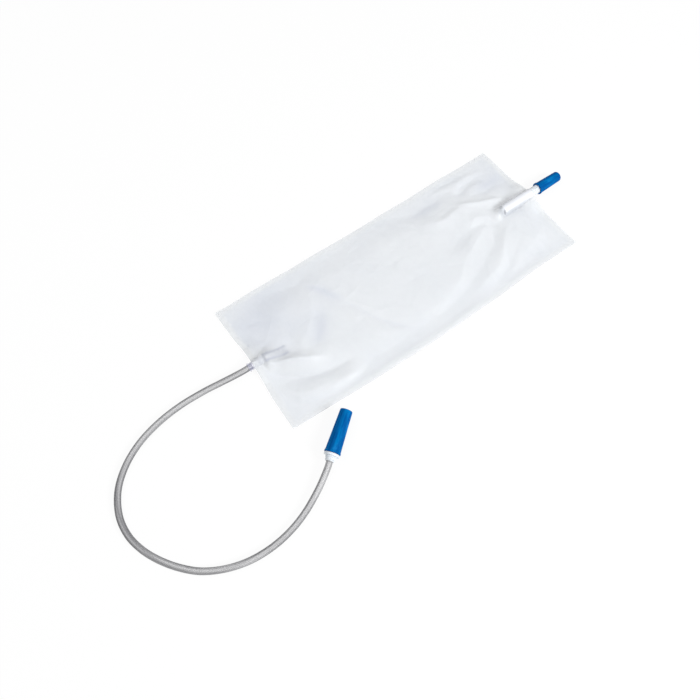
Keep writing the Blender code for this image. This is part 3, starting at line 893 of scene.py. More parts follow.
@dataclass
class FlutterValve:
    """Film sleeve that is round on the port and flat at its mouth, with a weld down each side.

    Attributes:
        start: Depth in the pouch at which it begins.
        overlap: How much of that lies on the port.
        drift: How far its mouth leans to +Y.
        rest: Height of its mouth's middle line.
        flattening: How soon it is flat; at 1, at its mouth.
        weld_power: How narrow the side welds are.
        flare: Share by which the side welds stand out.
        pinch: Share by which they are thinner.
        ripple: Height of the film's slow ripple.
        clearness: Share of its finish's second, cooler colour that it carries.
    """

    radius: float = 0.0047
    port_height: float = 0.0055
    start: float = 0.0125
    length: float = 0.0245
    overlap: float = 0.0015
    mouth_width: float = 0.0100
    mouth_height: float = 0.0024
    drift: float = -0.0024
    film: float = 0.0003
    rest: float = 0.0019
    flattening: float = 1.25
    weld_power: int = 24
    flare: float = 0.035
    pinch: float = 0.55
    ripple: float = 0.00012
    clearness: float = 0.8
    rings: int = 40
    sides: int = 56

    def section(self, share: Field | float) -> tuple[Field, Field, Field]:
        """Finds the sleeve's section.

        Args:
            share: Share of its length from the port.

        Returns:
            Half width, half height and height of the middle line.
        """
        flat = smooth((share * self.length - self.overlap) / (self.length - self.overlap) * self.flattening)
        half_width = between(self.radius, self.mouth_width / 2, flat)
        half_height = between(self.radius, self.mouth_height / 2, flat)
        return half_width, half_height, between(self.port_height, self.rest, flat)

    def middle(self, share: Field | float) -> Field:
        """Place of the sleeve's middle line on Y at a share of its length."""
        return self.drift * smooth(share)

    def crown(self, depth: Field, around: float) -> tuple[Field, Field]:
        """Finds the crown of a film that lies over the sleeve and the port.

        Args:
            depth: Distances from the welded edge.
            around: Distance of the film's outer face from what is under it.

        Returns:
            The crown's height and its place on Y.
        """
        share = np.clip((depth - self.start) / self.length, 0.0, 1.0)
        _, half_height, height = self.section(share)
        return height + half_height + around, self.middle(share)

    def top(self, depth: Field, y: Field, around: float) -> Field:
        """Finds the lowest height at which a film clears the sleeve.

        Args:
            depth: Distances of points from the welded edge.
            y: Their places on Y.
            around: Distance of the film's outer face from the sleeve.

        Returns:
            That height, or 0 beside the sleeve.
        """
        share = (depth - self.start) / self.length
        side = np.abs(y - self.middle(share))
        half_width, half_height, height = self.section(np.clip(share, 0.0, 1.0))
        across = np.clip(side / (half_width + around), 0.0, 1.0)
        over = height + (half_height + around) * np.sqrt(1 - across**2)
        near = (share > -0.05) & (share < 1.1) & (side < half_width + around)
        return np.where(near, over, 0.0)

    def build(self, inlet_edge: float, finish: FilmFinish) -> bpy.types.Object:
        """Builds the sleeve on the port.

        Args:
            inlet_edge: Place of the inlet edge on X.
            finish: The sleeve's finish.

        Returns:
            The sleeve.
        """

        def place(column: Field, row: Field) -> tuple[Field, Mapping[Attribute, Field]]:
            """Places the grid's points on the sleeve.

            Args:
                column: Numbers of the points along the piece.
                row: Their numbers round the sleeve.

            Returns:
                The points, and the numbers they carry.
            """
            share = column / self.rings
            angle = row / self.sides * math.tau
            half_width, half_height, height = self.section(share)
            weld = np.abs(np.cos(angle)) ** self.weld_power
            across = half_width * (1 + self.flare * weld * smooth(share * 2)) * np.cos(angle)
            wave = self.ripple * np.sin(share * 9 + 2 * angle) * smooth(share * 2 - 0.4)
            up = half_height * np.sin(angle) * (1 - self.pinch * weld) + wave * np.sin(angle) ** 2
            x = inlet_edge + self.start + self.length * share
            edge = np.maximum(0.0, half_width * (1 + self.flare) - np.abs(across))
            carried = {Attribute.EDGE: edge, Attribute.PAINTED_SHADE_AND_STREAKS: np.full(len(share), self.clearness)}
            return np.stack([x, self.middle(share) + across, height + up], axis=1), carried

        piece = grid_piece("valve_sleeve", (self.rings, self.sides), place, finish, self.film, rolled=True)
        settle(piece, Body.BAG, Slot.VALVE, "flutter_valve")
        girth = math.tau * self.radius
        area = self.length * (girth + 2 * self.mouth_width) / 2
        return piece


@dataclass
class Pouch:
    """Two films welded round their edge, empty, with the folds that they lie in.

    Attributes:
        passages: The pipe in the inlet edge and the one in the outlet edge.
        puff: Height to which the front film stands up in the pouch's middle.
        puff_run: Run from the weld over which it rises to that.
        fold_run: Run from the weld over which the folds reach their height.
        rounding: Radius of the line along which the film leaves the weld, in the corners.
        curl: Height to which the -Y edge curls up.
        curl_window: Shares of the length: where the curl begins, over what run, where it has ended, over what run.
        curl_line: Place of the curl from the edge, and its run.
        long_flutter: Waves whose product lifts the long edges.
        short_flutter: Wave that lifts the short edges.
        flutter_run: Run of the lift from a long edge and from a short one.
        swell: Slow waves in the whole front film.
        gathers: Radians in a metre of the gathers at the long welds, how they wander, and how they grow and fade.
        gather_run: Run from the weld over which they die away, and over which they begin.
        drape_opening: Run over which the film widens from a pipe's channel to its drape.
        drape_end: Run over which the film comes down behind a pipe.
        fan_run: Run over which the grid opens from a pipe's width to the pouch's.
        bow: How far the -Y edge bows out at its ends and in its middle.
        bow_end: The bow ends at 1 over this share of the length.
        hollow: Shift of the +Y edge's middle along Y.
        ragged: Waves whose product is the unevenness of the long cuts.
        short_cut: Wave of the short cuts.
        inlet_bow: How far the inlet edge bows out, and how much more on the +Y side.
        pipe_lines: Cells from a pipe's middle line to its side.
        outer_lines: Cells from there to the long edge.
        rest_softness: How softly the front film comes to rest on the back film.
        rest_run: Run from the weld over which its lift begins.
        edge_run: Run from the weld over which the back film's edge lifts.
        low_film_shade: Height below which low film carries its full painted shade, run above that over which the shade
            fades, and its share.
        shaded_patch: Middle and reach of the patch of painted shade in the inlet's +Y corner.
        tight_film: How far tight film goes past the spout, over what run it ends, and its shift to -Y.
        back_share: How many cells the back film has for each of the front film's, along X.
    """

    inlet_edge: float
    outlet_edge: float
    half_width: float
    valve: FlutterValve
    passages: tuple[Passage, Passage]
    film: float = 0.0004
    weld: float = 0.006
    puff: float = 0.0034
    puff_run: float = 0.034
    fold_run: float = 0.0065
    rounding: float = 0.030
    curl: float = 0.0006
    curl_window: tuple[float, float, float, float] = (0.16, 0.12, 0.72, 0.14)
    curl_line: tuple[float, float] = (0.0042, 0.0068)
    long_flutter: tuple[Wave, Wave] = (Wave(41, phase=1.1), Wave(17, phase=0.4))
    short_flutter: Wave = Wave(0, 63, 0.8, 0.0008)
    flutter_height: float = 0.0011
    flutter_run: tuple[float, float] = (0.020, 0.018)
    swell: tuple[Wave, ...] = (Wave(58, 31), Wave(33, -74, 1.7, 0.6), Wave(-12, 96, height=0.5))
    swell_height: float = 0.00020
    gathers: tuple[float, Wave, Wave] = (520, Wave(61, 9, height=2.2), Wave(23, height=0.4))
    gather_height: float = 0.00030
    gather_run: tuple[float, float] = (0.0075, 0.002)
    drape_opening: float = 0.014
    drape_end: float = 0.017
    fan_run: float = 0.030
    bow: tuple[float, float] = (0.0010, 0.0046)
    bow_end: float = 1.15
    hollow: float = -0.0010
    ragged: tuple[Wave, Wave] = (Wave(110, height=0.00012), Wave(37, phase=1))
    short_cut: Wave = Wave(0, 47, 0.6, 0.0006)
    inlet_bow: tuple[float, float] = (0.0010, 0.0012)
    rest_softness: float = 0.0004
    rest_run: float = 0.010
    edge_run: float = 0.012
    low_film_shade: tuple[float, float, float] = (0.0016, 0.0042, 0.26)
    shaded_patch: tuple[tuple[float, float], tuple[float, float]] = ((0.040, 0.030), (0.066, 0.054))
    tight_film: tuple[float, float, float] = (0.0035, 0.005, 0.0004)
    small_count: int = 70
    seed: int = 7
    middle_cells: int = 190
    end_cells: int = 52
    end_run: float = 0.043
    pipe_lines: int = 10
    outer_lines: int = 56
    back_share: float = 0.6
    folds: tuple[Fold, ...] = FOLDS
    shade_lines: tuple[Fold, ...] = SHADE_LINES

    def from_end(self, x: Field) -> Field:
        """Distance from the nearest short edge."""
        return np.minimum(x - self.inlet_edge, self.outlet_edge - x)

    def along(self, x: Field) -> Field:
        """Share of the pouch's length from the inlet edge."""
        return (x - self.inlet_edge) / (self.outlet_edge - self.inlet_edge)

    def edge_distance(self, x: Field, y: Field) -> Field:
        """Distance from the nearest edge of the pouch."""
        return np.minimum(self.from_end(x), self.half_width - np.abs(y))

    def looseness(self, x: Field, y: Field) -> Field:
        """Finds the distance from the weld, rounded where two edges are equally near.

        Args:
            x: Places on X.
            y: Places on Y.

        Returns:
            The distance of each point.
        """
        ends = self.from_end(x) - self.weld
        sides = self.half_width - np.abs(y) - self.weld
        gap = np.maximum(self.rounding - np.abs(ends - sides), 0.0) / self.rounding
        return np.minimum(ends, sides) - gap**2 * self.rounding / 4

    def weld_level(self, x: Field, y: Field) -> Field:
        """Finds the height of the plane in which the films meet.

        Args:
            x: Places on X.
            y: Places on Y.

        Returns:
            The height at each point.
        """
        level = self.film + CLEARANCE / 2
        rise = np.zeros(x.shape)
        for passage in self.passages:
            rise = np.maximum(rise, (passage.height - level) * passage.tent(x, y))
        return level + rise

    def flutter(self, x: Field, y: Field) -> Field:
        """Finds the small lift of the free edges, which never lie quite flat.

        Args:
            x: Places on X.
            y: Places on Y.

        Returns:
            The lift of each point.
        """
        first, second = self.long_flutter
        long_side = first.at(x, y) * second.at(x, y) * self.flutter_height
        near_long = smooth(1 - (self.half_width - np.abs(y)) / self.flutter_run[0])
        near_short = smooth(1 - self.from_end(x) / self.flutter_run[1])
        lift = np.abs(long_side) * near_long + np.abs(self.short_flutter.at(x, y)) * near_short
        start, start_run, end, end_run = self.curl_window
        window = smooth((self.along(x) - start) / start_run) * smooth((end - self.along(x)) / end_run)
        place, run = self.curl_line
        lift += self.curl * window * smooth(1 - np.abs(y + self.half_width - place) / run)
        return lift * smooth(1 - 4 * sum(passage.tent(x, y) for passage in self.passages))

    def small_folds(self) -> list[Fold]:
        """Makes short shallow creases that run away from the pipes, the same ones each time.

        Returns:
            The creases.
        """
        chance = np.random.default_rng(self.seed)
        length = (self.outlet_edge - self.inlet_edge) / MM
        made = []
        for _ in range(self.small_count):
            place = np.array([chance.uniform(0.03, 0.97) * length, chance.uniform(-62.0, 62.0)])
            source = np.array([35.0 if place[0] < length * 0.45 else length - 40, 0.0])
            away = place - source
            turn = math.atan2(away[1], away[0]) + chance.normal(0, 0.5)
            half = chance.uniform(6.0, 17.0) * np.array([math.cos(turn), math.sin(turn)])
            bend = np.array([-half[1], half[0]]) * chance.normal(0, 0.25)
            height = chance.uniform(0.12, 0.45) * chance.choice([-1.0, 1.0])
            width = chance.uniform(1.2, 3.0)
            line = (*(place - half), *(place + bend), *(place + half))
            made.append(Fold(height, width, width * 1.4, line, crest=1.0))
        return made

    def folded(self, base: Field, folds: Sequence[Fold], x: Field, y: Field, unit: float = 1.0) -> Field:
        """Lays folds on a field.

        Args:
            base: The field's values at the points.
            folds: The folds.
            x: Places of the points on X.
            y: Their places on Y.
            unit: What a height of 1 stands for.

        Returns:
            The field with the folds.
        """
        for fold in folds:
            base = base + fold.lift((x - self.inlet_edge) / MM, y / MM) * unit
        return base

    def crease_height(self, x: Field, y: Field) -> Field:
        """Sum of all folds and of the slow waves at points of the pouch."""
        creases = self.folded(np.zeros(x.shape), (*self.folds, *self.small_folds()), x, y, MM)
        return creases + self.swell_height * sum(wave.at(x, y) for wave in self.swell)

    def puckers(self, x: Field, y: Field, loose: Field) -> Field:
        """Finds the little gathers that run into the weld along the long sides.

        Args:
            x: Places on X.
            y: Places on Y.
            loose: Their distances from the weld.

        Returns:
            The height of the gathers.
        """
        rate, wander, growth = self.gathers
        wave = np.sin(x * rate + wander.at(x, y)) * (0.6 + growth.at(x, y))
        fade, start = self.gather_run
        return self.gather_height * wave * np.exp(-loose / fade) * smooth(loose / start)

    def front_height(self, x: Field, y: Field) -> Field:
        """Finds the height of the front film's outer face.

        Args:
            x: Places on X.
            y: Places on Y.

        Returns:
            The height at each point.
        """
        welded = self.weld_level(x, y) + CLEARANCE / 2 + self.film + self.flutter(x, y)
        loose = self.looseness(x, y)
        body = self.puff * smooth(loose / self.puff_run)
        folds = self.crease_height(x, y) * smooth(loose / self.fold_run)
        lift = body + folds + self.puckers(x, y, np.maximum(loose, 0.0))
        # The film rests softly on the back film where the folds would take it lower
        resting = 0.5 * (lift + np.sqrt(lift**2 + self.rest_softness**2))
        height = welded + resting * smooth(loose / self.rest_run)
        for passage in self.passages:
            height = self.draped(passage, x, y, height)
        return height

    def draped(self, passage: Passage, x: Field, y: Field, height: Field) -> Field:
        """Raises the front film to where a pipe and what is on it hold it up.

        Args:
            passage: The pipe's way through the weld.
            x: Places on X.
            y: Places on Y.
            height: Heights of the film without the pipe.

        Returns:
            Heights of the film over the pipe.
        """
        depth = passage.depth(x)
        radius = passage.radius_at(x)
        crown, middle = passage.crown(depth)
        side = np.abs(y - middle)
        run = np.where(y > middle, *passage.drape)
        opening = smooth((depth - self.weld) / self.drape_opening)
        past = smooth((depth - passage.reach - passage.sleeve) / self.drape_end)
        across = smooth(1 - side / (between(radius, run, opening) * (1 + past)))
        height = between(height, crown, across * (1 - past))
        around = passage.height + passage.channel(x, y)
        on_pipe = (depth < passage.reach + CLEARANCE + self.film) & (passage.side(y) < radius)
        height = np.where(on_pipe, np.maximum(height, around), height)
        if not passage.sleeve:
            return height
        return np.maximum(height, self.valve.top(depth, y, CLEARANCE + self.film))

    def back_height(self, x: Field, y: Field) -> Field:
        """Finds the height of the back film's outer face.

        Args:
            x: Places on X.
            y: Places on Y.

        Returns:
            The height at each point.
        """
        height = self.weld_level(x, y) - CLEARANCE / 2 - self.film
        for passage in self.passages:
            under = passage.height - passage.channel(x, y)
            height = np.where(passage.side(y) < passage.radius_at(x), np.minimum(height, under), height)
        near_edge = smooth(1 - (self.edge_distance(x, y) - self.weld) / self.edge_run)
        return np.maximum(0.0, height) + self.flutter(x, y) * near_edge

    def lines_along(self, share: float = 1.0) -> Field:
        """Places the grid's lines on X, closer together near both ends.

        Args:
            share: Share of the usual number of lines.

        Returns:
            Their places, in order.
        """
        ends = (np.linspace(0, 1, int(self.end_cells * share) + 1) ** 1.15) * self.end_run
        length = self.outlet_edge - self.inlet_edge
        cells = int(self.middle_cells * share)
        middle = np.linspace(self.end_run, length - self.end_run, cells + 1)[1:-1]
        return self.inlet_edge + np.concatenate([ends, middle, length - ends[::-1]])

    def lines_across(self, index: Field, x: Field) -> Field:
        """Places the grid's lines on Y: round the pipes near the ends, and evenly in the middle.

        Args:
            index: Numbers of lines from the middle one.
            x: Places on X.

        Returns:
            Their places on Y.
        """
        inlet, outlet = self.passages
        order = np.abs(index)
        even = self.half_width * order / (self.pipe_lines + self.outer_lines)
        near_outlet, near_inlet = (
            smooth(1 - (passage.depth(x) - outlet.reach) / self.fan_run) for passage in (outlet, inlet)
        )
        radius = np.where(near_outlet > near_inlet, outlet.radius_at(x), inlet.radius_at(x))
        on_pipe = radius * np.sin(math.pi / 2 * np.minimum(order / self.pipe_lines, 1.0))
        share = np.clip((order - self.pipe_lines) / self.outer_lines, 0.0, 1.0)
        outside = between(radius, self.half_width, between(share**1.6, share, 0.45))
        near = np.where(order <= self.pipe_lines, on_pipe, outside)
        y = np.sign(index) * between(even, near, np.maximum(near_inlet, near_outlet))
        return y + outlet.offset * near_outlet * (1 - (y / self.half_width) ** 2)

    def outline_wander(self, x: Field, y: Field) -> tuple[Field, Field]:
        """Finds how far points lie from a true rectangle, because the film was cut and lies a little off.

        Args:
            x: Places on X.
            y: Places on Y.

        Returns:
            Their shifts along X and along Y.
        """
        share = self.along(x)
        ends, middle = self.bow
        low = smooth(-y / self.half_width) * -(ends + middle * np.sin(math.pi * np.clip(share * self.bow_end, 0, 1)))
        high = smooth(y / self.half_width) * self.hollow * np.sin(math.pi * share) ** 2
        first, second = self.ragged
        cut = first.at(x, y) * second.at(x, y) * smooth(np.abs(y) / self.half_width * 4 - 3)
        shift = self.short_cut.at(x, y) * (np.abs(2 * share - 1) ** 8)
        near_inlet = np.maximum(1 - 2 * share, 0.0) ** 8 * smooth((np.abs(y) - 0.012) / 0.030)
        out, more = self.inlet_bow
        return shift - near_inlet * (out + more * smooth(y / self.half_width)), low + high + cut

    def painted_shade_and_streaks(self, x: Field, y: Field, height: Field) -> Field:
        """Finds where the film is painted in its cooler, darker colour as shade: low film, crease lines and the
        inlet's +Y corner.

        Args:
            x: Places on X.
            y: Places on Y.
            height: Their heights.

        Returns:
            Its share of that painted shade at each point, from 0 to 1.
        """
        level, run, share = self.low_film_shade
        low = share * (1 - smooth((height - level) / run))
        (middle_x, middle_y), (reach_x, reach_y) = self.shaded_patch
        off = np.hypot((x - self.inlet_edge - middle_x) / reach_x, (y - middle_y) / reach_y)
        return np.clip(self.folded(low + 0.50 * smooth(1.25 - off), self.shade_lines, x, y), 0.0, 1.0)

    def density(self, x: Field, y: Field) -> Field:
        """Finds where the film is drawn tight and looks milkier: over the spout and round its end.

        Args:
            x: Places on X.
            y: Places on Y.

        Returns:
            Its milkiness at each point, from 0 to 1.
        """
        spout = self.passages[1]
        past, run, shift = self.tight_film
        over = smooth((spout.reach + past - spout.depth(x)) / run)
        return over * smooth(2.3 - np.abs(y - spout.offset + shift) / spout.radius * 2)

    def build_film(
        self, name: str, node: str, finish: FilmFinish, height_at: Callable[[Field, Field], Field], offset: float
    ) -> bpy.types.Object:
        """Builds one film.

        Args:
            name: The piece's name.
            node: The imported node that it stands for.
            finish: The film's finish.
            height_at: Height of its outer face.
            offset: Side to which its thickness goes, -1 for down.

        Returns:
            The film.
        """
        lines = self.lines_along(1.0 if offset < 0 else self.back_share)
        count = self.pipe_lines + self.outer_lines

        def place(column: Field, row: Field) -> tuple[Field, Mapping[Attribute, Field]]:
            """Places the grid's points on the film.

            Args:
                column: Numbers of the points along the piece.
                row: Their numbers across the film.

            Returns:
                The points, and the numbers they carry.
            """
            x = lines[column]
            y = self.lines_across(row - count, x)
            z = height_at(x, y)
            shift_x, shift_y = self.outline_wander(x, y)
            numbers = (self.edge_distance(x, y), self.painted_shade_and_streaks(x, y, z), self.density(x, y))
            return np.stack([x + shift_x, y + shift_y, z], axis=1), dict(zip(Attribute, numbers))

        piece = grid_piece(name, (len(lines) - 1, 2 * count), place, finish, self.film, offset=offset)
        size = (2 * self.half_width, self.outlet_edge - self.inlet_edge)
        settle(piece, Body.BAG, Slot.FILM, node)
        return piece

    def build(self, front: FilmFinish, back: FilmFinish) -> None:
        """Builds both films."""
        self.build_film("film_front", "front_film", front, self.front_height, -1.0)
        self.build_film("film_back", "back_film", back, self.back_height, 1.0)


@dataclass(kw_only=True)
class InletPort(TurnedPiece):
    """Clear sleeve welded into the inlet edge, with a beaded mouth that takes the tube."""

    name: str = "port_sleeve"
    node: str = "inlet_port"
    slot: Slot = Slot.PORT
    steps: int = 64
    radius: float = 0.0041
    bore: float = 0.0021
    socket: float = 0.0034
    proud: float = 0.005
    inside: float = 0.014
    socket_depth: float = 0.008
    bead: float = 0.0005
    bead_length: float = 0.0015

    def corners(self) -> Sequence[Corner]:
        """Goes round the sleeve's outline, with the mouth at the top.

        Returns:
            The corners, in order.
        """
        lip = self.radius + self.bead
        return (
            Corner(self.radius, self.proud - self.bead_length - self.bead, 0.0003),
            Corner(self.radius, -self.inside, 0.0003),
            Corner(self.bore, -self.inside, 0.0002),
            Corner(self.bore, self.proud - self.socket_depth),
            Corner(self.socket, self.proud - self.socket_depth),
            Corner(self.socket, self.proud, 0.0002),
            Corner(lip, self.proud, 0.0004),
            Corner(lip, self.proud - self.bead_length, 0.0004),
        )


@dataclass(kw_only=True)
class OutletSpout(TurnedPiece):
    """White pipe that is welded into the outlet edge and ends in the outlet cap."""

    name: str = "spout_pipe"
    node: str = "outlet_spout"
    slot: Slot = Slot.WHITE
    radius: float = 0.0047
    bore: float = 0.0035
    inside: float = 0.038
    tip: float = 0.026
    chamfer: float = 0.0005

    def corners(self) -> Sequence[Corner]:
        """Goes round the pipe's outline, with the tip at the top.

        Returns:
            The corners, in order.
        """
        return (
            Corner(self.radius, self.tip, self.chamfer),
            Corner(self.radius, -self.inside, self.chamfer),
            Corner(self.bore, -self.inside, 0.0002),
            Corner(self.bore, self.tip, 0.0002),
        )


@dataclass(kw_only=True)
class PushOnCap(TurnedPiece):
    """Tapered cap with its mouth at the origin, a lip there, shallow grip flutes and an open cavity.

    Attributes:
        steps: Facets round the turn, eight for each flute.
        mouth: Outer diameter at the mouth, without the lip.
        end: Outer diameter at the end.
        cavity: Corners of the cavity, from the mouth to its floor.
        flute_margin: Run at both ends that has no flutes.
        flute_fade: Run over which they begin.
    """

    slot: Slot = Slot.BLUE
    steps: int = 144
    sharp: float = 40.0
    closed: bool = False
    rows: float = 0.0012
    length: float
    mouth: float
    end: float
    rounding: float
    cavity: tuple[Corner, ...]
    lip: float = 0.0003
    lip_length: float = 0.0016
    flutes: int = 18
    flute_depth: float = 0.00018
    flute_margin: float = 0.0035
    flute_fade: float = 0.0022

    def outside(self, height: float) -> float:
        """Outer radius at a distance from the mouth, without the lip."""
        return (self.mouth + (self.end - self.mouth) * height / self.length) / 2

    def pressed(self, point: Vector) -> Vector:
        """Presses a point of the turned cap in where a flute runs over it.

        Args:
            point: A point of the turned cap.

        Returns:
            Its place on the cap.
        """
        radius = math.hypot(point.x, point.y)
        low = float(smooth((point.z - self.flute_margin) / self.flute_fade))
        high = float(smooth((self.length - self.flute_margin - point.z) / self.flute_fade))
        if radius < self.outside(point.z) - self.lip or low * high == 0:
            return point
        wave = ((1 - math.cos(math.atan2(point.y, point.x) * self.flutes)) / 2) ** 0.7
        scale = 1 - self.flute_depth * wave * low * high / radius
        return Vector((point.x * scale, point.y * scale, point.z))

    def corners(self) -> Sequence[Corner]:
        """Goes along the cap's outline, from the middle of the end to the middle of the cavity's floor.

        Returns:
            The corners, in order.
        """
        lip_outside = self.outside(0.0) + self.lip
        return (
            Corner(0.0, self.length),
            Corner(self.end / 2, self.length, self.rounding),
            Corner(self.outside(self.lip_length + self.lip), self.lip_length + self.lip, 0.0003),
            Corner(lip_outside, self.lip_length, 0.0002),
            Corner(lip_outside, 0.0, 0.0003),
            *self.cavity,
        )


@dataclass(kw_only=True)
class Connector(TurnedPiece):
    """White stepped connector: barbed nose, boss that holds the cap, collar, and a tail with the tube's socket.

    The collar's face on the cap's side lies at the origin.
    """

    name: str = "connector_body"
    node: str = "inlet_connector"
    slot: Slot = Slot.WHITE
    bore: float = 0.0020
    socket: float = 0.0034
    tail_wall: float = 0.0008
    tail_root: float = 0.0055
    tail_length: float = 0.005
    tail_socket: float = 0.006
    collar: float = 0.0073
    collar_thickness: float = 0.0024
    boss_length: float = 0.005
    boss_root: float = 0.00585
    boss_top: float = 0.00567
    nose_length: float = 0.034
    nose_root: float = 0.0048
    nose_tip: float = 0.0031
    nose_steps: int = 3
    nose_step: float = 0.0005

    def tail(self) -> float:
        """Distance of the tail's end from the collar's face."""
        return self.collar_thickness + self.tail_length

    def nose(self) -> Iterator[Corner]:
        """Runs down the nose from its tip to the boss, one barb after another.

        Yields:
            The corners of the barbs.
        """
        for step in range(self.nose_steps):
            first, last = step / self.nose_steps, (step + 1) / self.nose_steps
            top = between(self.nose_length, self.boss_length, first)
            low = between(self.nose_length, self.boss_length, last)
            thin = between(self.nose_tip, self.nose_root, first) - self.nose_step / 2
            thick = between(self.nose_tip, self.nose_root, last) + self.nose_step / 2
            yield Corner(thin, top, 0.0003 if step == 0 else 0.00015)
            yield Corner(thick, low + self.nose_step, 0.0002)

    def corners(self) -> Sequence[Corner]:
        """Goes round the connector's outline, from the nose's tip down and back up the bore.

        Returns:
            The corners, in order.
        """
        return (
            *self.nose(),
            Corner(self.nose_root, self.boss_length),
            Corner(self.boss_top, self.boss_length, 0.0002),
            Corner(self.boss_root, 0.0),
            Corner(self.collar, 0.0, 0.0004),
            Corner(self.collar, -self.collar_thickness, 0.0006),
            Corner(self.tail_root, -self.collar_thickness, 0.0005),
            Corner(self.socket + self.tail_wall, -self.tail(), 0.0003),
            Corner(self.socket, -self.tail(), 0.0002),
            Corner(self.socket, self.tail_socket - self.tail()),
            Corner(self.bore, self.tail_socket - self.tail()),
            Corner(self.bore, self.nose_length, 0.0002),
        )


@dataclass
class DrainageTube:
    """Clear soft tube from the port to the connector, along its route on the surface."""

    route: Sequence[Triple]
    diameter: float = 0.0062
    wall: float = 0.0010
    ovalness: float = 0.012
    bend: tuple[float, float] = (-0.362, -0.048)
    bend_reach: float = 0.095
    rings: int = 300
    sides: int = 32

    def frames(self, line: Field) -> tuple[Field, Field]:
        """Finds two directions across the tube, one of them level.

        Args:
            line: Points of its middle line.

        Returns:
            The level direction and the other one at each point.
        """
        along = np.gradient(line, axis=0)
        along /= np.linalg.norm(along, axis=1)[:, None]
        side = np.cross((0.0, 0.0, 1.0), along)
        side /= np.linalg.norm(side, axis=1)[:, None]
        return side, np.cross(along, side)

    def streaks(self, share: Field, angle: Field) -> Field:
        """Finds how grey the wall is: lengthwise streaks that wander slowly round the tube.

        Args:
            share: Share of the length at which points lie.
            angle: Their angle round the tube.

        Returns:
            A number from 0 to 1 for each point.
        """
        broad = np.sin(3 * angle + 2.2 * np.sin(share * 17) + share * 5)
        fine = np.sin(5 * angle + 1.3 * np.sin(share * 29) - share * 11)
        return 0.5 + 0.3 * broad + 0.2 * fine

    def build(
        self, exit_point: Sequence[float], finish: ClearFinish, on_it: Sequence[bpy.types.Object]
    ) -> bpy.types.Object:
        """Args:
            exit_point: Where the tube leaves the port.
            finish: The tube's finish.
            on_it: The pieces on its far end; not used.

        Returns:
            The tube.
        """
        line = smooth_line(self.route, self.rings + 1)
        side, over = self.frames(line)

        def place(column: Field, row: Field) -> tuple[Field, Mapping[Attribute, Field]]:
            """Places the grid's points round the line.

            Args:
                column: Numbers of the points along the piece.
                row: Their numbers round the tube.

            Returns:
                The points, and the numbers they carry.
            """
            angle = row / self.sides * math.tau
            oval = 1 + self.ovalness * np.sin(column * 0.11) * np.cos(2 * angle)
            ring = side[column] * np.cos(angle)[:, None] + over[column] * np.sin(angle)[:, None]
            points = line[column] + ring * (self.diameter / 2 * oval)[:, None]
            # The tube is made darker and less clear round its left bend.
            darker_near_bend = smooth(1 - np.hypot(*(points[:, :2] - self.bend).T) / self.bend_reach)
            streaks = self.streaks(column / self.rings, angle)
            return points, {Attribute.DENSITY: darker_near_bend, Attribute.PAINTED_SHADE_AND_STREAKS: streaks}

        piece = grid_piece("tube", (self.rings, self.sides), place, finish, self.wall, rolled=True)
        settle(piece, Body.BAG, Slot.TUBE, "drainage_tube")
        tuple(exit_point)
        return piece


@dataclass(frozen=True)
class Lamp:
    """A soft square lamp that looks at the pouch, with its share of the key lamp's power."""

    name: str
    place: Triple
    size: float
    share: float

    def build(self, key_power: float) -> None:
        """Adds the lamp.

        Args:
            key_power: Power of the key lamp.
        """
        data = bpy.data.lights.new(self.name, "AREA")
        data.shape = "SQUARE"
        data.size = self.size
        data.energy = key_power * self.share
        lamp = add_object(self.name, data)
        lamp.location = self.place
        lamp.rotation_euler = (-Vector(self.place)).to_track_quat("-Z", "Y").to_euler()


